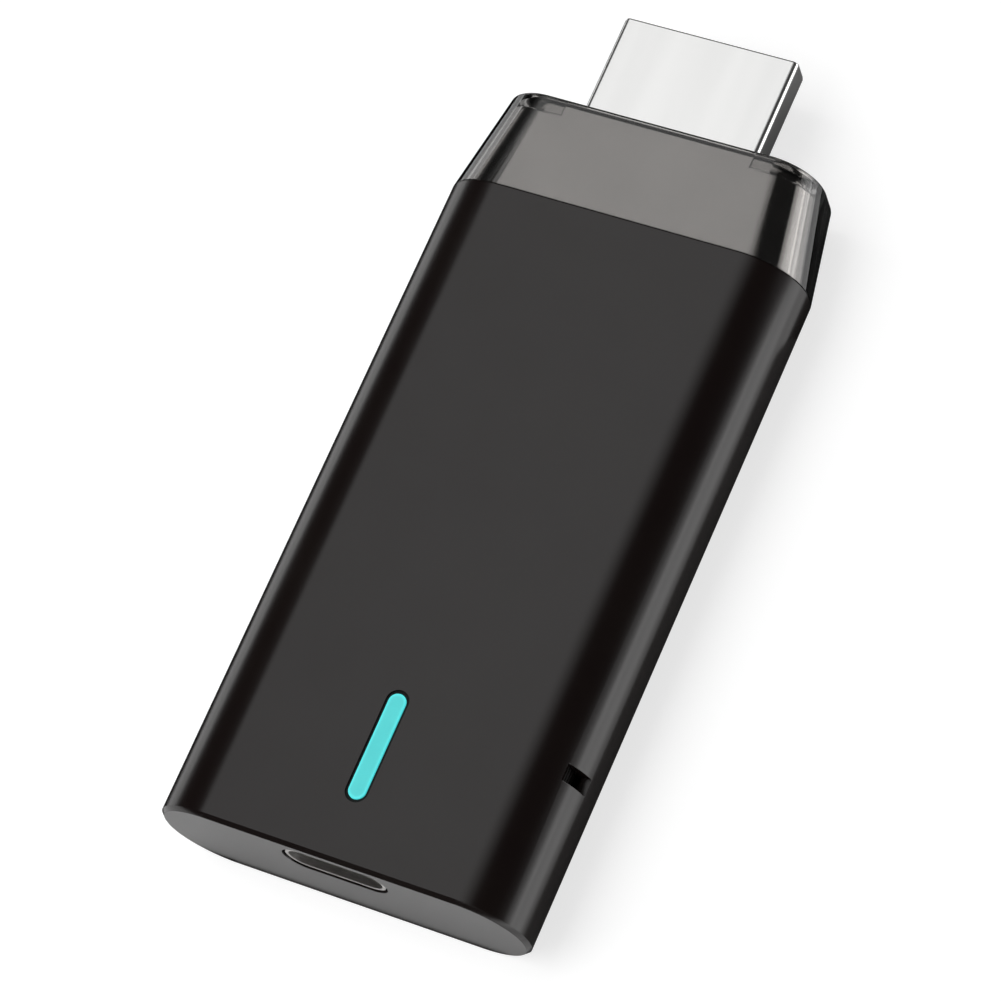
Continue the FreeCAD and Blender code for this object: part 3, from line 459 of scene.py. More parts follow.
class Workpiece:
    """One mesh being shaped: faces or edges are picked in code and then worked in edit mode."""

    def __init__(self, name: str, low: Sequence[float], high: Sequence[float]) -> None:
        """Starts from a box at its size and place.

        Args:
            name: Name of the object.
            low: Lowest corner in millimetres.
            high: Highest corner in millimetres.
        """
        deselect()
        centre = [(a + b) / 2 * MM for a, b in zip(low, high)]
        bpy.ops.mesh.primitive_cube_add(size=1.0, location=centre)
        self.thing: Thing = bpy.context.active_object
        self.thing.name = name
        self.thing.scale = [(b - a) * MM for a, b in zip(low, high)]
        bpy.ops.object.transform_apply(location=True, rotation=True, scale=True)

    def hold(self) -> None:
        """Makes this piece the only selected and active one."""
        deselect()
        self.thing.select_set(True)
        bpy.context.view_layer.objects.active = self.thing

    def _pick(self, mode: str, wanted: Callable[[object], bool]) -> "Workpiece":
        """Selects elements of one kind and leaves edit mode on.

        Args:
            mode: Kind of element, as Blender names it.
            wanted: Whether an element is picked.

        Returns:
            This workpiece.
        """
        self.hold()
        bpy.ops.object.mode_set(mode="EDIT")
        bpy.ops.mesh.select_mode(type=mode)
        bpy.ops.mesh.select_all(action="DESELECT")
        mesh = bmesh.from_edit_mesh(self.thing.data)
        for part in {"EDGE": mesh.edges, "FACE": mesh.faces, "VERT": mesh.verts}[mode]:
            part.select_set(wanted(part))
        mesh.select_flush_mode()
        bmesh.update_edit_mesh(self.thing.data)
        return self

    def points(self, wanted: Callable[[Vector], bool]) -> "Workpiece":
        """Picks vertices by their place in millimetres."""
        return self._pick("VERT", lambda v: wanted(v.co / MM))

    def edges(self, wanted: Test) -> "Workpiece":
        """Picks edges by their two ends in millimetres."""
        return self._pick("EDGE", lambda e: wanted(e.verts[0].co / MM, e.verts[1].co / MM))

    def faces(self, wanted: Test) -> "Workpiece":
        """Picks faces by their centre in millimetres and their normal."""
        return self._pick("FACE", lambda f: wanted(f.calc_center_median() / MM, f.normal))

    def far_end(self) -> "Workpiece":
        """Picks the faces that look toward the plug end."""
        return self.faces(lambda c, n: n.y > FACING)

    def long_edges(self, axis: int) -> "Workpiece":
        """Picks the edges that run along one axis."""
        others = [i for i in range(3) if i != axis]
        return self.edges(lambda a, b: all(abs(a[i] - b[i]) < STRAIGHT for i in others))

    def done(self) -> "Workpiece":
        """Leaves edit mode."""
        bpy.ops.object.mode_set(mode="OBJECT")
        return self

    def bevel(self, width: float, segments: int = 1) -> "Workpiece":
        """Rounds or chamfers the picked edges."""
        bpy.ops.mesh.bevel(offset=width * MM, segments=segments, profile=0.5, affect="EDGES",
                           offset_type="OFFSET", clamp_overlap=False)
        return self.done()

    def inset(self, width: float) -> "Workpiece":
        """Insets the picked faces."""
        bpy.ops.mesh.inset(thickness=width * MM, depth=0.0)
        return self

    def crown(self, width: float) -> "Workpiece":
        """Raises the picked end face on a rim that rolls inward by the same width."""
        for across, up in CROWN_STEPS:
            bpy.ops.mesh.inset(thickness=across * width * MM, depth=up * width * MM)
        return self.done()

    def extrude(self, move: Point) -> "Workpiece":
        """Extrudes the picked faces by a move in millimetres."""
        bpy.ops.mesh.extrude_region_move(TRANSFORM_OT_translate={"value": [v * MM for v in move]})
        return self

    def resize(self, factors: Point, centre: Point) -> "Workpiece":
        """Scales what is picked about a centre in millimetres."""
        bpy.ops.transform.resize(value=factors, center_override=[v * MM for v in centre])
        return self

    def move(self, shift: Point) -> "Workpiece":
        """Moves what is picked."""
        bpy.ops.transform.translate(value=[v * MM for v in shift])
        return self

    def _combine(self, other: "Workpiece", operation: str) -> "Workpiece":
        """Applies a boolean with another workpiece and removes that one.

        Args:
            other: The form that is used up.
            operation: What the boolean does.

        Returns:
            This workpiece.
        """
        self.hold()
        joint = self.thing.modifiers.new("with", "BOOLEAN")
        joint.operation = operation
        joint.object = other.thing
        joint.solver = "EXACT"
        bpy.ops.object.modifier_apply(modifier=joint.name)
        other.remove()
        return self

    def cut(self, other: "Workpiece") -> "Workpiece":
        """Cuts the other form out of this one."""
        return self._combine(other, "DIFFERENCE")

    def weld(self, other: "Workpiece") -> "Workpiece":
        """Adds the other form to this one."""
        return self._combine(other, "UNION")

    def trim(self, other: "Workpiece") -> "Workpiece":
        """Keeps only what lies inside the other form."""
        return self._combine(other, "INTERSECT")

    def remove(self) -> None:
        """Removes this workpiece and its mesh."""
        mesh = self.thing.data
        bpy.data.objects.remove(self.thing)
        bpy.data.meshes.remove(mesh)

    def soften(self, edge: Edge, segments: int = 2) -> "Workpiece":
        """Rolls every sharp edge a little, so that it catches the light.

        Args:
            edge: How far the edge is rolled.
            segments: Flats across the roll.

        Returns:
            This workpiece.
        """
        self.hold()
        roll = self.thing.modifiers.new("roll", "BEVEL")
        roll.width = edge.value * MM
        roll.segments = segments
        roll.limit_method = "ANGLE"
        roll.angle_limit = SHARP
        roll.use_clamp_overlap = True
        bpy.ops.object.modifier_apply(modifier=roll.name)
        return self

    def smooth(self) -> "Workpiece":
        """Smooth shading in which the large flat faces stay flat.

        Returns:
            This workpiece.
        """
        self.hold()
        bpy.ops.object.shade_smooth()
        level = self.thing.modifiers.new("level", "WEIGHTED_NORMAL")
        level.mode = "FACE_AREA"
        level.weight = 100
        bpy.ops.object.modifier_apply(modifier=level.name)
        return self

    def dress(self, slot: str, body: str, *nodes: str) -> Thing:
        """Gives the piece its finish, its body and the CAD nodes it stands for.

        Args:
            slot: Material slot of the record.
            body: CAD body that the piece rides on.
            nodes: CAD nodes that the piece replaces.

        Returns:
            The finished object.
        """
        self.thing.data.materials.clear()
        self.thing.data.materials.append(SLOT_FINISHES[slot].material())
        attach(self.thing, body)
        if nodes:
            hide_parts(*nodes)
        return self.thing


def rounded_bar(name: str, low: Sequence[float], high: Sequence[float], corner: float,
                segments: int) -> Workpiece:
    """Bar along Y whose long edges are rounded to a radius, in so many flats each."""
    return Workpiece(name, low, high).long_edges(1).bevel(corner, segments)


def middle_bar(name: str, width: float, height: float, corner: float, y0: float, y1: float,
               z: float, segments: int) -> Workpiece:
    """Rounded bar along Y, centred across the part at one height."""
    low = (-width / 2, y0, z - height / 2)
    return rounded_bar(name, low, (width / 2, y1, z + height / 2), corner, segments)


def full_round(width: float) -> float:
    """Radius that rounds a side fully, less a trace."""
    return width / 2 - ROUND_TRACE


def pill(name: str, width: float, length: float, y: float, z0: float, z1: float) -> Workpiece:
    """Upright pill form that lies along Y."""
    piece = Workpiece(name, (-width / 2, y - length / 2, z0), (width / 2, y + length / 2, z1))
    return piece.long_edges(2).bevel(full_round(width), ROUND_SEGMENTS)


# Sub-assemblies


@dataclass
class NoseForm:
    """The tapering form that the clear cap and the carrier inside it share.

    The base and the top each have a width, a height and a corner radius.
    """

    base: Point = (28.4, 9.5, 4.6)
    top: Point = (25.0, 9.4, 3.7)
    y0: float = 17.35
    y1: float = 25.25
    z: float = 4.75
    segments: int = 32

    def section(self, y: float, inset: float) -> Point:
        """Half width, half height and corner radius at one place.

        Args:
            y: Place along the part in millimetres.
            inset: Distance inside the outer skin.

        Returns:
            The three sizes in millimetres.
        """
        k = (y - self.y0) / (self.y1 - self.y0)
        width, height, corner = (a + (b - a) * k for a, b in zip(self.base, self.top))
        return width / 2 - inset, height / 2 - inset, corner - inset

    def solid(self, name: str, inset: float, y0: float, y1: float,
              start: Optional[float] = None) -> Workpiece:
        """Tapering solid between two places, with an optional straight run below it.

        Args:
            name: Name of the piece.
            inset: Distance inside the outer skin.
            y0: Where the taper starts.
            y1: Where it stops.
            start: Where a straight run of the first section starts.

        Returns:
            The solid as a workpiece.
        """
        half_x, half_z, corner = self.section(y0, inset)
        low = y0 if start is None else start
        piece = middle_bar(name, 2 * half_x, 2 * half_z, corner, low, y1, self.z, self.segments)
        if start is not None:
            piece.far_end().move((0, y0 - y1, 0)).extrude((0, y1 - y0, 0)).done()
        far_x, far_z, far_corner = self.section(y1, inset)
        k = far_corner / corner
        for sx in (-1, 1):
            for sz in (-1, 1):
                near = (sx * (half_x - corner), y1, self.z + sz * (half_z - corner))
                far = (sx * (far_x - far_corner), self.z + sz * (far_z - far_corner))
                piece.points(lambda v: v.y > y1 - NEAR and v.x * sx > 0 and (v.z - self.z) * sz > 0)
                piece.resize((k, 1, k), near).move((far[0] - near[0], 0, far[1] - near[2])).done()
        return piece


@dataclass
class Housing:
    """The glossy sleeve with its closed end, openings and inner ledges.

    Rails hold the board from below and above, and two stops meet it at the closed end. The key
    slides in a guide behind the notch.
    """

    corner: float = 4.6
    wall: float = 0.9
    end_wall: float = 1.2
    end_chamfer: float = 0.3
    mouth_chamfer: float = 0.08
    window: Pair = (1.72, 8.62)
    window_y: float = -25.45
    port_hole: Pair = (8.1, 3.3)
    port_hole_past: float = 0.4
    port_z: float = 7.1
    notch_y: float = -22.6
    notch_width: float = 1.25
    notch_back: float = 12.75
    notch_lip: float = 6.1
    notch_floor: float = 5.0
    notch_roll: float = 0.06
    notch_step: float = 0.01
    key_hole: Pair = (5.85, 7.9)
    key_hole_x: float = 5.0
    guide: Point = (10.9, 3.0, 5.7)
    board: Pair = (4.6, 5.6)
    board_play: float = 0.05
    rail_reach: float = 1.1
    rail_height: float = 0.7
    rail_short: float = 5.2
    stop_x: float = 7.5
    stop_half: float = 0.5
    stop_reach: float = 1.5
    stop_bottom: float = 0.45
    stop_rise: float = 0.65
    segments: int = 24

    def shell(self) -> Workpiece:
        """Hollow sleeve with one closed end.

        Returns:
            The sleeve as a workpiece.
        """
        low, high = span("housing")
        body = rounded_bar("housing_shell", low, high, self.corner, self.segments)
        body.far_end().inset(self.wall)
        body.extrude((0, self.end_wall - (high.y - low.y), 0)).done()
        body.edges(lambda a, b: max(a.y, b.y) < low.y + NEAR).bevel(self.end_chamfer)
        body.edges(lambda a, b: min(a.y, b.y) > high.y - NEAR and self.outside(a)
                   and self.outside(b))
        return body.bevel(self.mouth_chamfer)

    def outside(self, v: Vector) -> bool:
        """Whether a point of the mouth lies on the outer skin.

        Args:
            v: The point in millimetres.

        Returns:
            True on the outer skin, and False on the inner one.
        """
        low, high = span("housing")
        z = (high.z + low.z) / 2
        hx, hz = high.x - self.corner, (high.z - low.z) / 2 - self.corner
        reach = Vector((max(abs(v.x) - hx, 0), max(abs(v.z - z) - hz, 0))).length
        return reach > self.corner - self.wall / 2

    def ledges(self) -> Workpiece:
        """Rails, end stops and the key's guide, as one form inside the skin.

        Returns:
            The form as a workpiece.
        """
        low, high = span("housing")
        skin = self.wall / 2
        inner, edge = high.x - self.wall - self.rail_reach, high.x - skin
        below, above = self.board[0] - self.rail_height, self.board[1] + self.board_play
        guide_x, guide_width, guide_z = self.guide
        guide_end = self.notch_y + guide_width / 2
        first, last = low.y + self.end_wall / 2, high.y - self.rail_short
        out = Workpiece("guide", (guide_x, self.notch_y - guide_width / 2, guide_z),
                        (edge, guide_end, high.z - skin))
        for side in Side:
            x0, x1 = sorted((side.value * inner, side.value * edge))
            start = guide_end if side is Side.HIGH else first
            out.weld(Workpiece("rail", (x0, first, below), (x1, last, self.board[0])))
            out.weld(Workpiece("rail", (x0, start, above), (x1, last, above + self.rail_height)))
            x = side.value * self.stop_x
            out.weld(Workpiece("stop", (x - self.stop_half, first, self.stop_bottom),
                               (x + self.stop_half, low.y + self.stop_reach,
                                above + self.stop_rise)))
        return out.trim(rounded_bar("skin", (low.x + skin, low.y, low.z + skin),
                                    (high.x - skin, high.y, high.z - skin), self.corner - skin,
                                    self.segments))

    def notch(self) -> Workpiece:
        """Cutter of the side notch: a flat lip through the wall, and a deeper pocket behind it.

        Returns:
            The cutter as a workpiece.
        """
        high = span("housing")[1]
        half = self.notch_width / 2
        inner = high.x - self.wall
        floor, step = self.notch_floor, self.notch_step
        cutter = Workpiece("notch", (self.notch_back, self.notch_y - half, floor),
                           (inner, self.notch_y + half, high.z + PAST / 2))
        cutter.faces(lambda c, n: n.x > FACING).extrude((step, 0, 0)).done()
        cutter.points(lambda v: v.x > inner + step / 2 and v.z < floor + NEAR)
        cutter.move((0, 0, self.notch_lip - floor)).done()
        cutter.faces(lambda c, n: n.x > FACING and c.x > inner + step - NEAR)
        return cutter.extrude((self.wall + PAST, 0, 0)).done()

    def on_notch_edge(self, v: Vector) -> bool:
        """Whether a point lies on the outer edge of the notch.

        Args:
            v: The point in millimetres.

        Returns:
            True on that edge.
        """
        off = abs(abs(v.y - self.notch_y) - self.notch_width / 2)
        least_x, least_z = self.notch_back - self.notch_step, self.notch_lip - self.notch_step
        return off < NEAR and v.x > least_x and v.z > least_z and self.outside(v)

    def build(self) -> Thing:
        """Models and dresses the housing.

        Returns:
            The finished object.
        """
        low, high = span("housing")
        half = self.notch_width / 2
        body = self.shell()
        body.weld(self.ledges())
        body.cut(self.notch())
        body.edges(lambda a, b: abs(a.y - b.y) < NEAR and self.on_notch_edge(a)
                   and self.on_notch_edge(b))
        body.bevel(self.notch_roll, 2)
        body.cut(Workpiece("key_hole", (self.key_hole_x, self.notch_y - half, self.key_hole[0]),
                           (self.notch_back + self.notch_step, self.notch_y + half,
                            self.key_hole[1])))
        body.cut(middle_bar("port_hole", *self.port_hole, full_round(self.port_hole[1]),
                            low.y - PAST, low.y + self.end_wall + self.port_hole_past,
                            self.port_z, ROUND_SEGMENTS))
        body.cut(pill("window", *self.window, self.window_y, high.z - 2 * self.wall,
                      high.z + PAST))
        return body.soften(Edge.MOULDED).smooth().dress("housing_black", "housing_group", "housing")


@dataclass
class Nose:
    """The clear cap and the grey carrier that shows through it."""

    form: NoseForm = field(default_factory=NoseForm)
    wall: float = 0.9
    fit: float = 0.06
    shoulder_length: float = 1.1
    shoulder_depth: float = 0.16
    shoulder_spread: float = 15.0
    ledge_roll: float = 0.08
    carrier_wall: float = 1.0
    spigot: float = 4.0
    top_bevel: float = 0.25
    top_segments: int = 3

    def inside(self, name: str, gap: float, y0: float, y1: float,
               start: Optional[float] = None) -> Workpiece:
        """Room inside the cap, less a gap all round, with a shoulder near each end of its top.

        Args:
            name: Name of the piece.
            gap: Distance inside the cap's inner walls.
            y0: Where the taper starts.
            y1: Where it stops.
            start: Where a straight run below it starts.

        Returns:
            The room as a workpiece.
        """
        form = self.form
        room = form.solid(name, self.wall + gap, y0, y1, start)
        first = self.shoulder_spread / 2 - gap
        ledge = form.y1 - self.shoulder_length - gap
        for side in Side:
            x0, x1 = sorted((side.value * first, side.value * form.base[0]))
            step = Workpiece("step", (x0, ledge, -PAST), (x1, y1 + PAST, form.base[1] + PAST))
            narrow = form.solid("narrow", self.wall + gap + self.shoulder_depth, y0, y1 + 2 * PAST)
            room.cut(step.cut(narrow))
        return room

    def cap(self) -> Thing:
        """Clear sleeve with a softly bevelled rim.

        Returns:
            The finished object.
        """
        form = self.form
        cap = form.solid("clear_nose_cap", 0, form.y0, form.y1)
        cap.edges(lambda a, b: min(a.y, b.y) > form.y1 - NEAR)
        cap.bevel(self.top_bevel, self.top_segments)
        cap.cut(self.inside("hollow", 0, form.y0 - PAST / 2, form.y1 + PAST / 2))
        return cap.soften(Edge.FINE).smooth().dress("cap_smoke", "housing_group", "nose_cap")

    def carrier(self) -> Thing:
        """Grey carrier: straight spigot, tapering nose and the plate round the plug.

        Returns:
            The finished object.
        """
        form = self.form
        start = form.y0 - self.spigot
        body = self.inside("plug_holder", self.fit, form.y0, form.y1, start)
        ledge = form.y1 - self.shoulder_length - self.fit
        least = form.section(ledge, self.wall + self.fit + self.shoulder_depth / 2)[1]
        body.edges(lambda a, b: all(abs(v.y - ledge) < NEAR and abs(v.z - form.z) > least
                                    for v in (a, b)))
        body.bevel(self.ledge_roll)
        deep = self.wall + self.fit + self.carrier_wall
        body.cut(form.solid("hollow", deep, form.y0, form.y1 - 2 * self.carrier_wall,
                            start - PAST))
        body.cut(PlugForm().solid("plug_hole", -self.fit, start - PAST, form.y1 + PAST))
        body.soften(Edge.FINE).smooth()
        return body.dress("carrier_grey", "housing_group", "plug_carrier")

    def build(self) -> List[Thing]:
        """Models and dresses both pieces."""
        return [self.carrier(), self.cap()]


@dataclass
class PlugForm:
    """Outline of the video plug: wide front, upright sides, slants to a narrow back.

    An inset moves a slanted corner along its straight side by the slant's share of the inset.
    """

    half_width: float = 6.95
    half_narrow: float = 5.1
    half_height: float = 2.225
    side: float = 2.55
    edge: float = 0.45
    least_edge: float = 0.12
    slant_share: float = 0.41
    z: float = 4.75

    def solid(self, name: str, inset: float, y0: float, y1: float, segments: int = 5) -> Workpiece:
        """Prism of the outline with rounded long edges.

        Args:
            name: Name of the piece.
            inset: Distance inside the outer skin.
            y0: Lower end along the part.
            y1: Upper end.
            segments: Flats per rounded edge.

        Returns:
            The prism as a workpiece.
        """
        half = self.half_width - inset
        slant = inset * self.slant_share
        low, high = self.z - self.half_height + inset, self.z + self.half_height - inset
        turn = self.z + self.half_height - self.side + slant
        piece = Workpiece(name, (-half, y0, turn), (half, y1, high))
        piece.faces(lambda c, n: n.z < -FACING).extrude((0, 0, low - turn)).done()
        narrow = (self.half_narrow - slant) / half
        piece.points(lambda v: v.z < low + NEAR).resize((narrow, 1, 1), (0, 0, low)).done()
        return piece.long_edges(1).bevel(max(self.edge - inset, self.least_edge), segments)


@dataclass
class VideoPlug:
    """Folded steel shell of the video plug, with two detent holes and a seam in its back."""

    form: PlugForm = field(default_factory=PlugForm)
    wall: float = 0.3
    bore_segments: int = 3
    tip_chamfer: float = 0.2
    detent: Pair = (1.9, 1.5)
    detent_corner: float = 0.2
    detent_segments: int = 4
    detent_spread: float = 2.6
    detent_from_tip: float = 3.6
    seam: float = 0.08
    seam_depth: float = 0.45

    def build(self) -> Thing:
        """Models and dresses the shell.

        Returns:
            The finished object.
        """
        low, high = span("plug_shell")
        shell = self.form.solid("plug_sleeve", 0, low.y, high.y - self.tip_chamfer)
        shell.far_end().crown(self.tip_chamfer)
        shell.cut(self.form.solid("bore", self.wall, low.y - PAST, high.y + PAST,
                                  self.bore_segments))
        y = high.y - self.detent_from_tip - self.detent[1] / 2
        for x in (-self.detent_spread, self.detent_spread):
            hole = Workpiece("detent", (x - self.detent[0] / 2, y - self.detent[1] / 2, 0),
                             (x + self.detent[0] / 2, y + self.detent[1] / 2,
                              low.z + 2 * self.wall))
            shell.cut(hole.long_edges(2).bevel(self.detent_corner, self.detent_segments))
        shell.cut(Workpiece("seam", (-self.seam / 2, low.y - PAST, low.z - PAST),
                            (self.seam / 2, high.y + PAST, low.z + self.seam_depth)))
        return shell.soften(Edge.FINE).smooth().dress("plug_metal", "housing_group", "plug_shell")


@dataclass
class LightWindow:
    """The lit bar in the front face, with the flange and the foot behind it."""

    width: float = 1.33
    length: float = 8.1
    y: float = -25.45
    edge: float = 0.06
    edge_segments: int = 3
    flange: Point = (3.4, 4.0, 0.6)
    foot_y: float = -23.65
    inner_top: float = 8.6

    def build(self) -> Thing:
        """Models and dresses the bar.

        Returns:
            The finished object.
        """
        low, high = span("light_bar")
        bar = pill("light_pipe", self.width, self.length, self.y, self.inner_top, high.z)
        bar.edges(lambda a, b: min(a.z, b.z) > high.z - NEAR).bevel(self.edge, self.edge_segments)
        wide, long, thick = self.flange
        y0, y1 = self.foot_y - long / 2, self.foot_y + long / 2
        bar.weld(Workpiece("flange", (-wide / 2, y0, self.inner_top - thick),
                           (wide / 2, y1, self.inner_top)))
        bar.weld(Workpiece("foot", (-self.width / 2, y0, low.z),
                           (self.width / 2, y1, self.inner_top - thick / 2)))
        return bar.smooth().dress("bar_turquoise", "housing_group", "light_bar")


@dataclass
class ChargePort:
    """Drawn steel shell of the charging port, with its rolled lip and four legs."""

    size: Pair = (7.7, 2.9)
    wall: float = 0.25
    z: float = 7.1
    leg_width: float = 1.0
    leg_places: Pair = (-31.95, -27.55)
    forward: float = 0.09
    segments: int = 16
    lip_segments: int = 3

    def build(self) -> Thing:
        """Models and dresses the shell.

        Returns:
            The finished object.
        """
        low, high = span("port_shell")
        width, height = self.size
        inner = height - 2 * self.wall
        shell = middle_bar("port_sleeve", width, height, full_round(height),
                           low.y - self.forward, high.y, self.z, self.segments)
        shell.cut(middle_bar("bore", width - 2 * self.wall, inner, full_round(inner),
                             low.y - PAST, high.y + PAST, self.z, self.segments))
        for side in Side:
            x0, x1 = sorted(side.value * x for x in (width / 2, width / 2 - self.wall))
            for y in self.leg_places:
                shell.weld(Workpiece("leg", (x0, y - self.leg_width / 2, low.z),
                                     (x1, y + self.leg_width / 2, self.z)))
        shell.soften(Edge.CAST, self.lip_segments).smooth()
        return shell.dress("port_metal", "housing_group", "port_shell")


@dataclass
class Carried:
    """The CAD nodes, each of which gets its finish, also where a piece stands in for it."""

    subparts: Sequence[Mapping[str, str]]

    def build(self) -> List[Thing]:
        """Puts each node's finish in its material slots.

        Returns:
            The nodes.
        """
        out = []
        for part in self.subparts:
            node = frame["nodes"][part["node"]]
            finish = SLOT_FINISHES[part["material_slot"]].material()
            if not node.material_slots:
                node.data.materials.append(finish)
            for holder in node.material_slots:
                holder.material = finish
            out.append(node)
        return out


# Studio


@dataclass
class Lamp:
    """One soft box; its long side runs along a given direction."""

    name: str
    place: Point
    aim: Point
    along: Point
    size: Pair
    radiance: float
    mirrored: bool = True
    falloff: Sequence[Pair] = ()

    def fade(self, data: bpy.types.Light) -> None:
        """Cloth over the box: its level changes softly along its first side, as the stops say.

        Args:
            data: The lamp's data.
        """
        tree = empty_tree(data)
        place = add_node(tree, "ShaderNodeNewGeometry").outputs["Parametric"]
        across = add_node(tree, "ShaderNodeSeparateXYZ", {0: place})
        ramp = add_node(tree, "ShaderNodeValToRGB", {"Fac": across.outputs["X"]})
        stops = ramp.color_ramp.elements
        stops.remove(stops[1])
        for at, level in self.falloff:
            stop = stops[0] if at == 0 else stops.new(at)
            stop.color = (level, level, level, 1)
        glow = add_node(tree, "ShaderNodeEmission", {
            "Color": ramp.outputs["Color"], "Strength": 1.0})
        add_node(tree, "ShaderNodeOutputLight", {"Surface": glow.outputs[0]})

    def build(self) -> None:
        """Adds the lamp, turned to what it is aimed at."""
        data = bpy.data.lights.new(self.name, "AREA")
        data.shape = "RECTANGLE"
        data.size, data.size_y = (v * MM for v in self.size)
        if self.falloff:
            self.fade(data)
        data.energy = self.radiance * data.size * data.size_y * math.pi
        lamp = bpy.data.objects.new(self.name, data)
        bpy.context.scene.collection.objects.link(lamp)
        back = (Vector(self.place) - Vector(self.aim)).normalized()
        across = Vector(self.along)
        across = (across - across.dot(back) * back).normalized()
        turn = Matrix((across, back.cross(across), back)).transposed().to_4x4()
        lamp.matrix_world = Matrix.Translation(Vector(self.place) * MM) @ turn
        lamp.visible_camera = False
        lamp.visible_glossy = self.mirrored
        lamp.visible_transmission = self.mirrored


@dataclass
class PaintedShadeCard:
    """Matt card of painted shade on the floor at the part's foot, never seen by the camera.

    It is seen in reflections only, or through the clear cap too, where it paints shade: the
    mirrored floor round the part shows darker than the lit floor. It casts no shadow and gives no
    bounce light.
    """

    name: str
    low: Pair
    high: Pair
    tone: str
    through: bool = False
    height: float = -0.01

    def build(self) -> None:
        """Lays the card down."""
        deselect()
        centre = [(a + b) / 2 * MM for a, b in zip(self.low, self.high)]
        bpy.ops.mesh.primitive_plane_add(size=1.0, location=(*centre, self.height * MM))
        card = bpy.context.active_object
        card.name = self.name
        card.scale = (*((b - a) * MM for a, b in zip(self.low, self.high)), 1)
        # Hidden from camera, diffuse and shadow rays, so that the card only paints shade into
        # reflections.
        for ray in ("camera", "diffuse", "volume_scatter", "shadow"):
            setattr(card, "visible_" + ray, False)
        card.visible_transmission = self.through
        board = bpy.data.materials.new("painted_shade_board_" + self.name)
        tree = empty_tree(board)
        matt = add_node(tree, "ShaderNodeBsdfDiffuse", {"Color": linear(self.tone)})
        add_node(tree, "ShaderNodeOutputMaterial", {"Surface": matt.outputs[0]})
        card.data.materials.append(board)


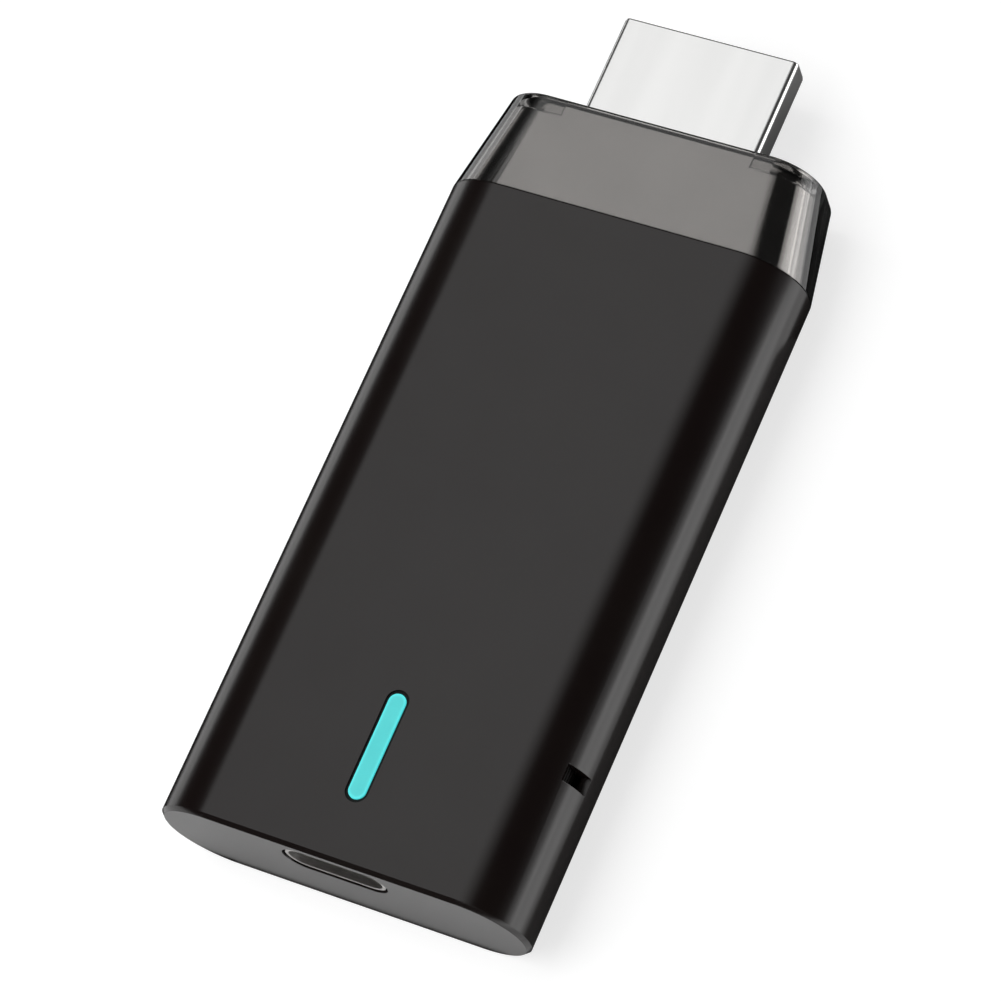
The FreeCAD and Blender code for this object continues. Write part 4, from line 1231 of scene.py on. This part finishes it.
@dataclass
class Studio:
    """Pale table, plain room, soft boxes, cards of painted shade and the camera.

    The camera is given by its place and its three axes in the row frame.
    """

    lens: float = 163.17
    sensor: float = 36.0
    clip_start: float = 10.0
    place: Point = (112.286, -105.172, 288.169)
    right: Point = (0.894139, 0.391073, -0.218123)
    up: Point = (-0.276133, 0.865008, 0.41894)
    back: Point = (0.352515, -0.31436, 0.881426)
    lamps: Sequence[Lamp] = (
        Lamp("key_box", (-69.5, 109.5, 596), (77.5, -63.5, 40), (1, 0, 0), (512, 355), 0.97,
             falloff=((0.0, 1.0), (0.457, 1.0), (1.0, 0.0))),
        Lamp("key_top", (-133, 343.5, 506.3), (14, 170.5, -49.7), (1, 0, 0), (381, 145), 0.97,
             falloff=((0.0, 1.0), (0.34, 1.0), (1.0, 0.2))),
        Lamp("key_wing", (-516, 360, 400), (-369, 187, -156), (1, 0, 0), (410, 210), 0.97,
             falloff=((0.0, 0.0), (0.55, 0.02), (0.82, 0.28), (1.0, 1.0))),
        Lamp("side_strip", (80, -14, 20), (0, -14, 20), (0, 0, 1), (40, 116), 2.1,
             falloff=((0.0, 1.0), (0.1, 1.0), (0.4, 0.45), (0.7, 0.1), (1.0, 0.0))),
        Lamp("nose_strip", (80, 80, 22), (0, 80, 22), (0, 0, 1), (44, 50), 2.4,
             falloff=((0.0, 1.0), (0.5, 0.8), (1.0, 0.3))),
        Lamp("low_strip", (40, 24, 0.5), (40, 24, 100), (0, 1, 0), (190, 28), 0.95),
        Lamp("left_strip", (-80, 39, 12), (0, 39, 12), (0, 0, 1), (24, 112), 0.6,
             falloff=((0.0, 1.0), (0.2, 0.9), (0.5, 0.4), (1.0, 0.0))),
        Lamp("front_box", (80, -600, 520), (0, 0, 0), (1, 0, 0), (700, 400), 0.9),
        Lamp("top_fill", (-450, -250, 800), (0, 0, 0), (0, 1, 0), (1000, 1000), 2.4, False),
    )
    room_level: float = 0.03
    table_size: float = 6000.0
    table_drop: float = 0.02
    table_tone: str = "b4b4b4"
    table_lift: float = 0.72
    # Cards of painted shade under and round the part, seen only in reflections and through the cap.
    # The dark ones stand in for the shade at the part's foot and beside the plug. The pale end card
    # dims the floor that the end face mirrors.
    cards: Sequence[PaintedShadeCard] = (
        PaintedShadeCard("left_painted_shade_card", (-27.0, -34.42), (-10.0, 42.0), "161616", True),
        PaintedShadeCard("right_painted_shade_card", (-10.0, -34.42), (22.0, 16.0), "747474", True),
        PaintedShadeCard("nose_painted_shade_card", (-10.0, 16.0), (18.5, 28.5), "4a4a4a", True),
        PaintedShadeCard("plug_painted_shade_card", (-10.0, 28.5), (18.5, 42.0), "747474", True),
        PaintedShadeCard("far_painted_shade_card", (-40.0, 42.0), (30.0, 150.0), "3a3a3a", True),
        PaintedShadeCard("end_painted_shade_card", (-20.0, -38.0), (22.0, -34.42), "fcfcfc"),
    )

    def camera(self) -> None:
        """Camera at the photograph's viewing angle."""
        data = bpy.data.cameras.new("photo_camera")
        data.lens = self.lens
        data.sensor_width = self.sensor
        data.clip_start = self.clip_start * MM
        eye = bpy.data.objects.new("photo_camera", data)
        bpy.context.scene.collection.objects.link(eye)
        turn = Matrix((self.right, self.up, self.back)).transposed().to_4x4()
        eye.matrix_world = Matrix.Translation(Vector(self.place) * MM) @ turn
        bpy.context.scene.camera = eye

    def table(self) -> None:
        """Pale floor that shows white and keeps the part's shadow."""
        deselect()
        bpy.ops.mesh.primitive_plane_add(size=self.table_size * MM,
                                         location=(0, 0, -self.table_drop * MM))
        floor = bpy.context.active_object
        floor.name = "pale_table"
        paper = bpy.data.materials.new("matt_white_paper")
        tree = empty_tree(paper)
        path = add_node(tree, "ShaderNodeLightPath")
        seen = path.outputs["Is Camera Ray"]
        for ray in ("Is Glossy Ray", "Is Transmission Ray"):
            seen = add_node(tree, "ShaderNodeMath", {0: seen, 1: path.outputs[ray]},
                            operation="MAXIMUM").outputs[0]
        lift = add_node(tree, "ShaderNodeMath", {0: seen, 1: self.table_lift},
                        operation="MULTIPLY")
        matt = add_node(tree, "ShaderNodeBsdfDiffuse", {"Color": linear(self.table_tone)})
        white = add_node(tree, "ShaderNodeEmission", {"Color": WHITE, "Strength": lift.outputs[0]})
        both = add_node(tree, "ShaderNodeAddShader", {0: matt.outputs[0], 1: white.outputs[0]})
        add_node(tree, "ShaderNodeOutputMaterial", {"Surface": both.outputs[0]})
        floor.data.materials.append(paper)

    def room(self) -> None:
        """Plain dim room, which leaves the glossy black deep."""
        world = bpy.data.worlds.new("studio_room")
        bpy.context.scene.world = world
        tree = empty_tree(world)
        sky = add_node(tree, "ShaderNodeBackground", {"Color": WHITE, "Strength": self.room_level})
        add_node(tree, "ShaderNodeOutputWorld", {"Surface": sky.outputs[0]})

    def build(self) -> None:
        """Sets up the whole studio."""
        bpy.context.scene.view_settings.view_transform = "Standard"
        self.camera()
        self.room()
        self.table()
        for thing in (*self.cards, *self.lamps):
            thing.build()


def main() -> None:
    """Builds the studio and then each sub-assembly, and reports every piece."""
    logging.basicConfig(level=logging.INFO, format="%(message)s")
    Studio().build()
    log.info("studio ready")
    for node in Carried(frame["record"]["subparts"]).build():
        log.info("finish on %s", node.name)
    for maker in (Housing(), Nose(), VideoPlug(), LightWindow(), ChargePort()):
        made = maker.build()
        for piece in made if isinstance(made, list) else [made]:
            log.info("%s: %d faces", piece.name, len(piece.data.polygons))
    deselect()


if __name__ == "__main__":
    main()
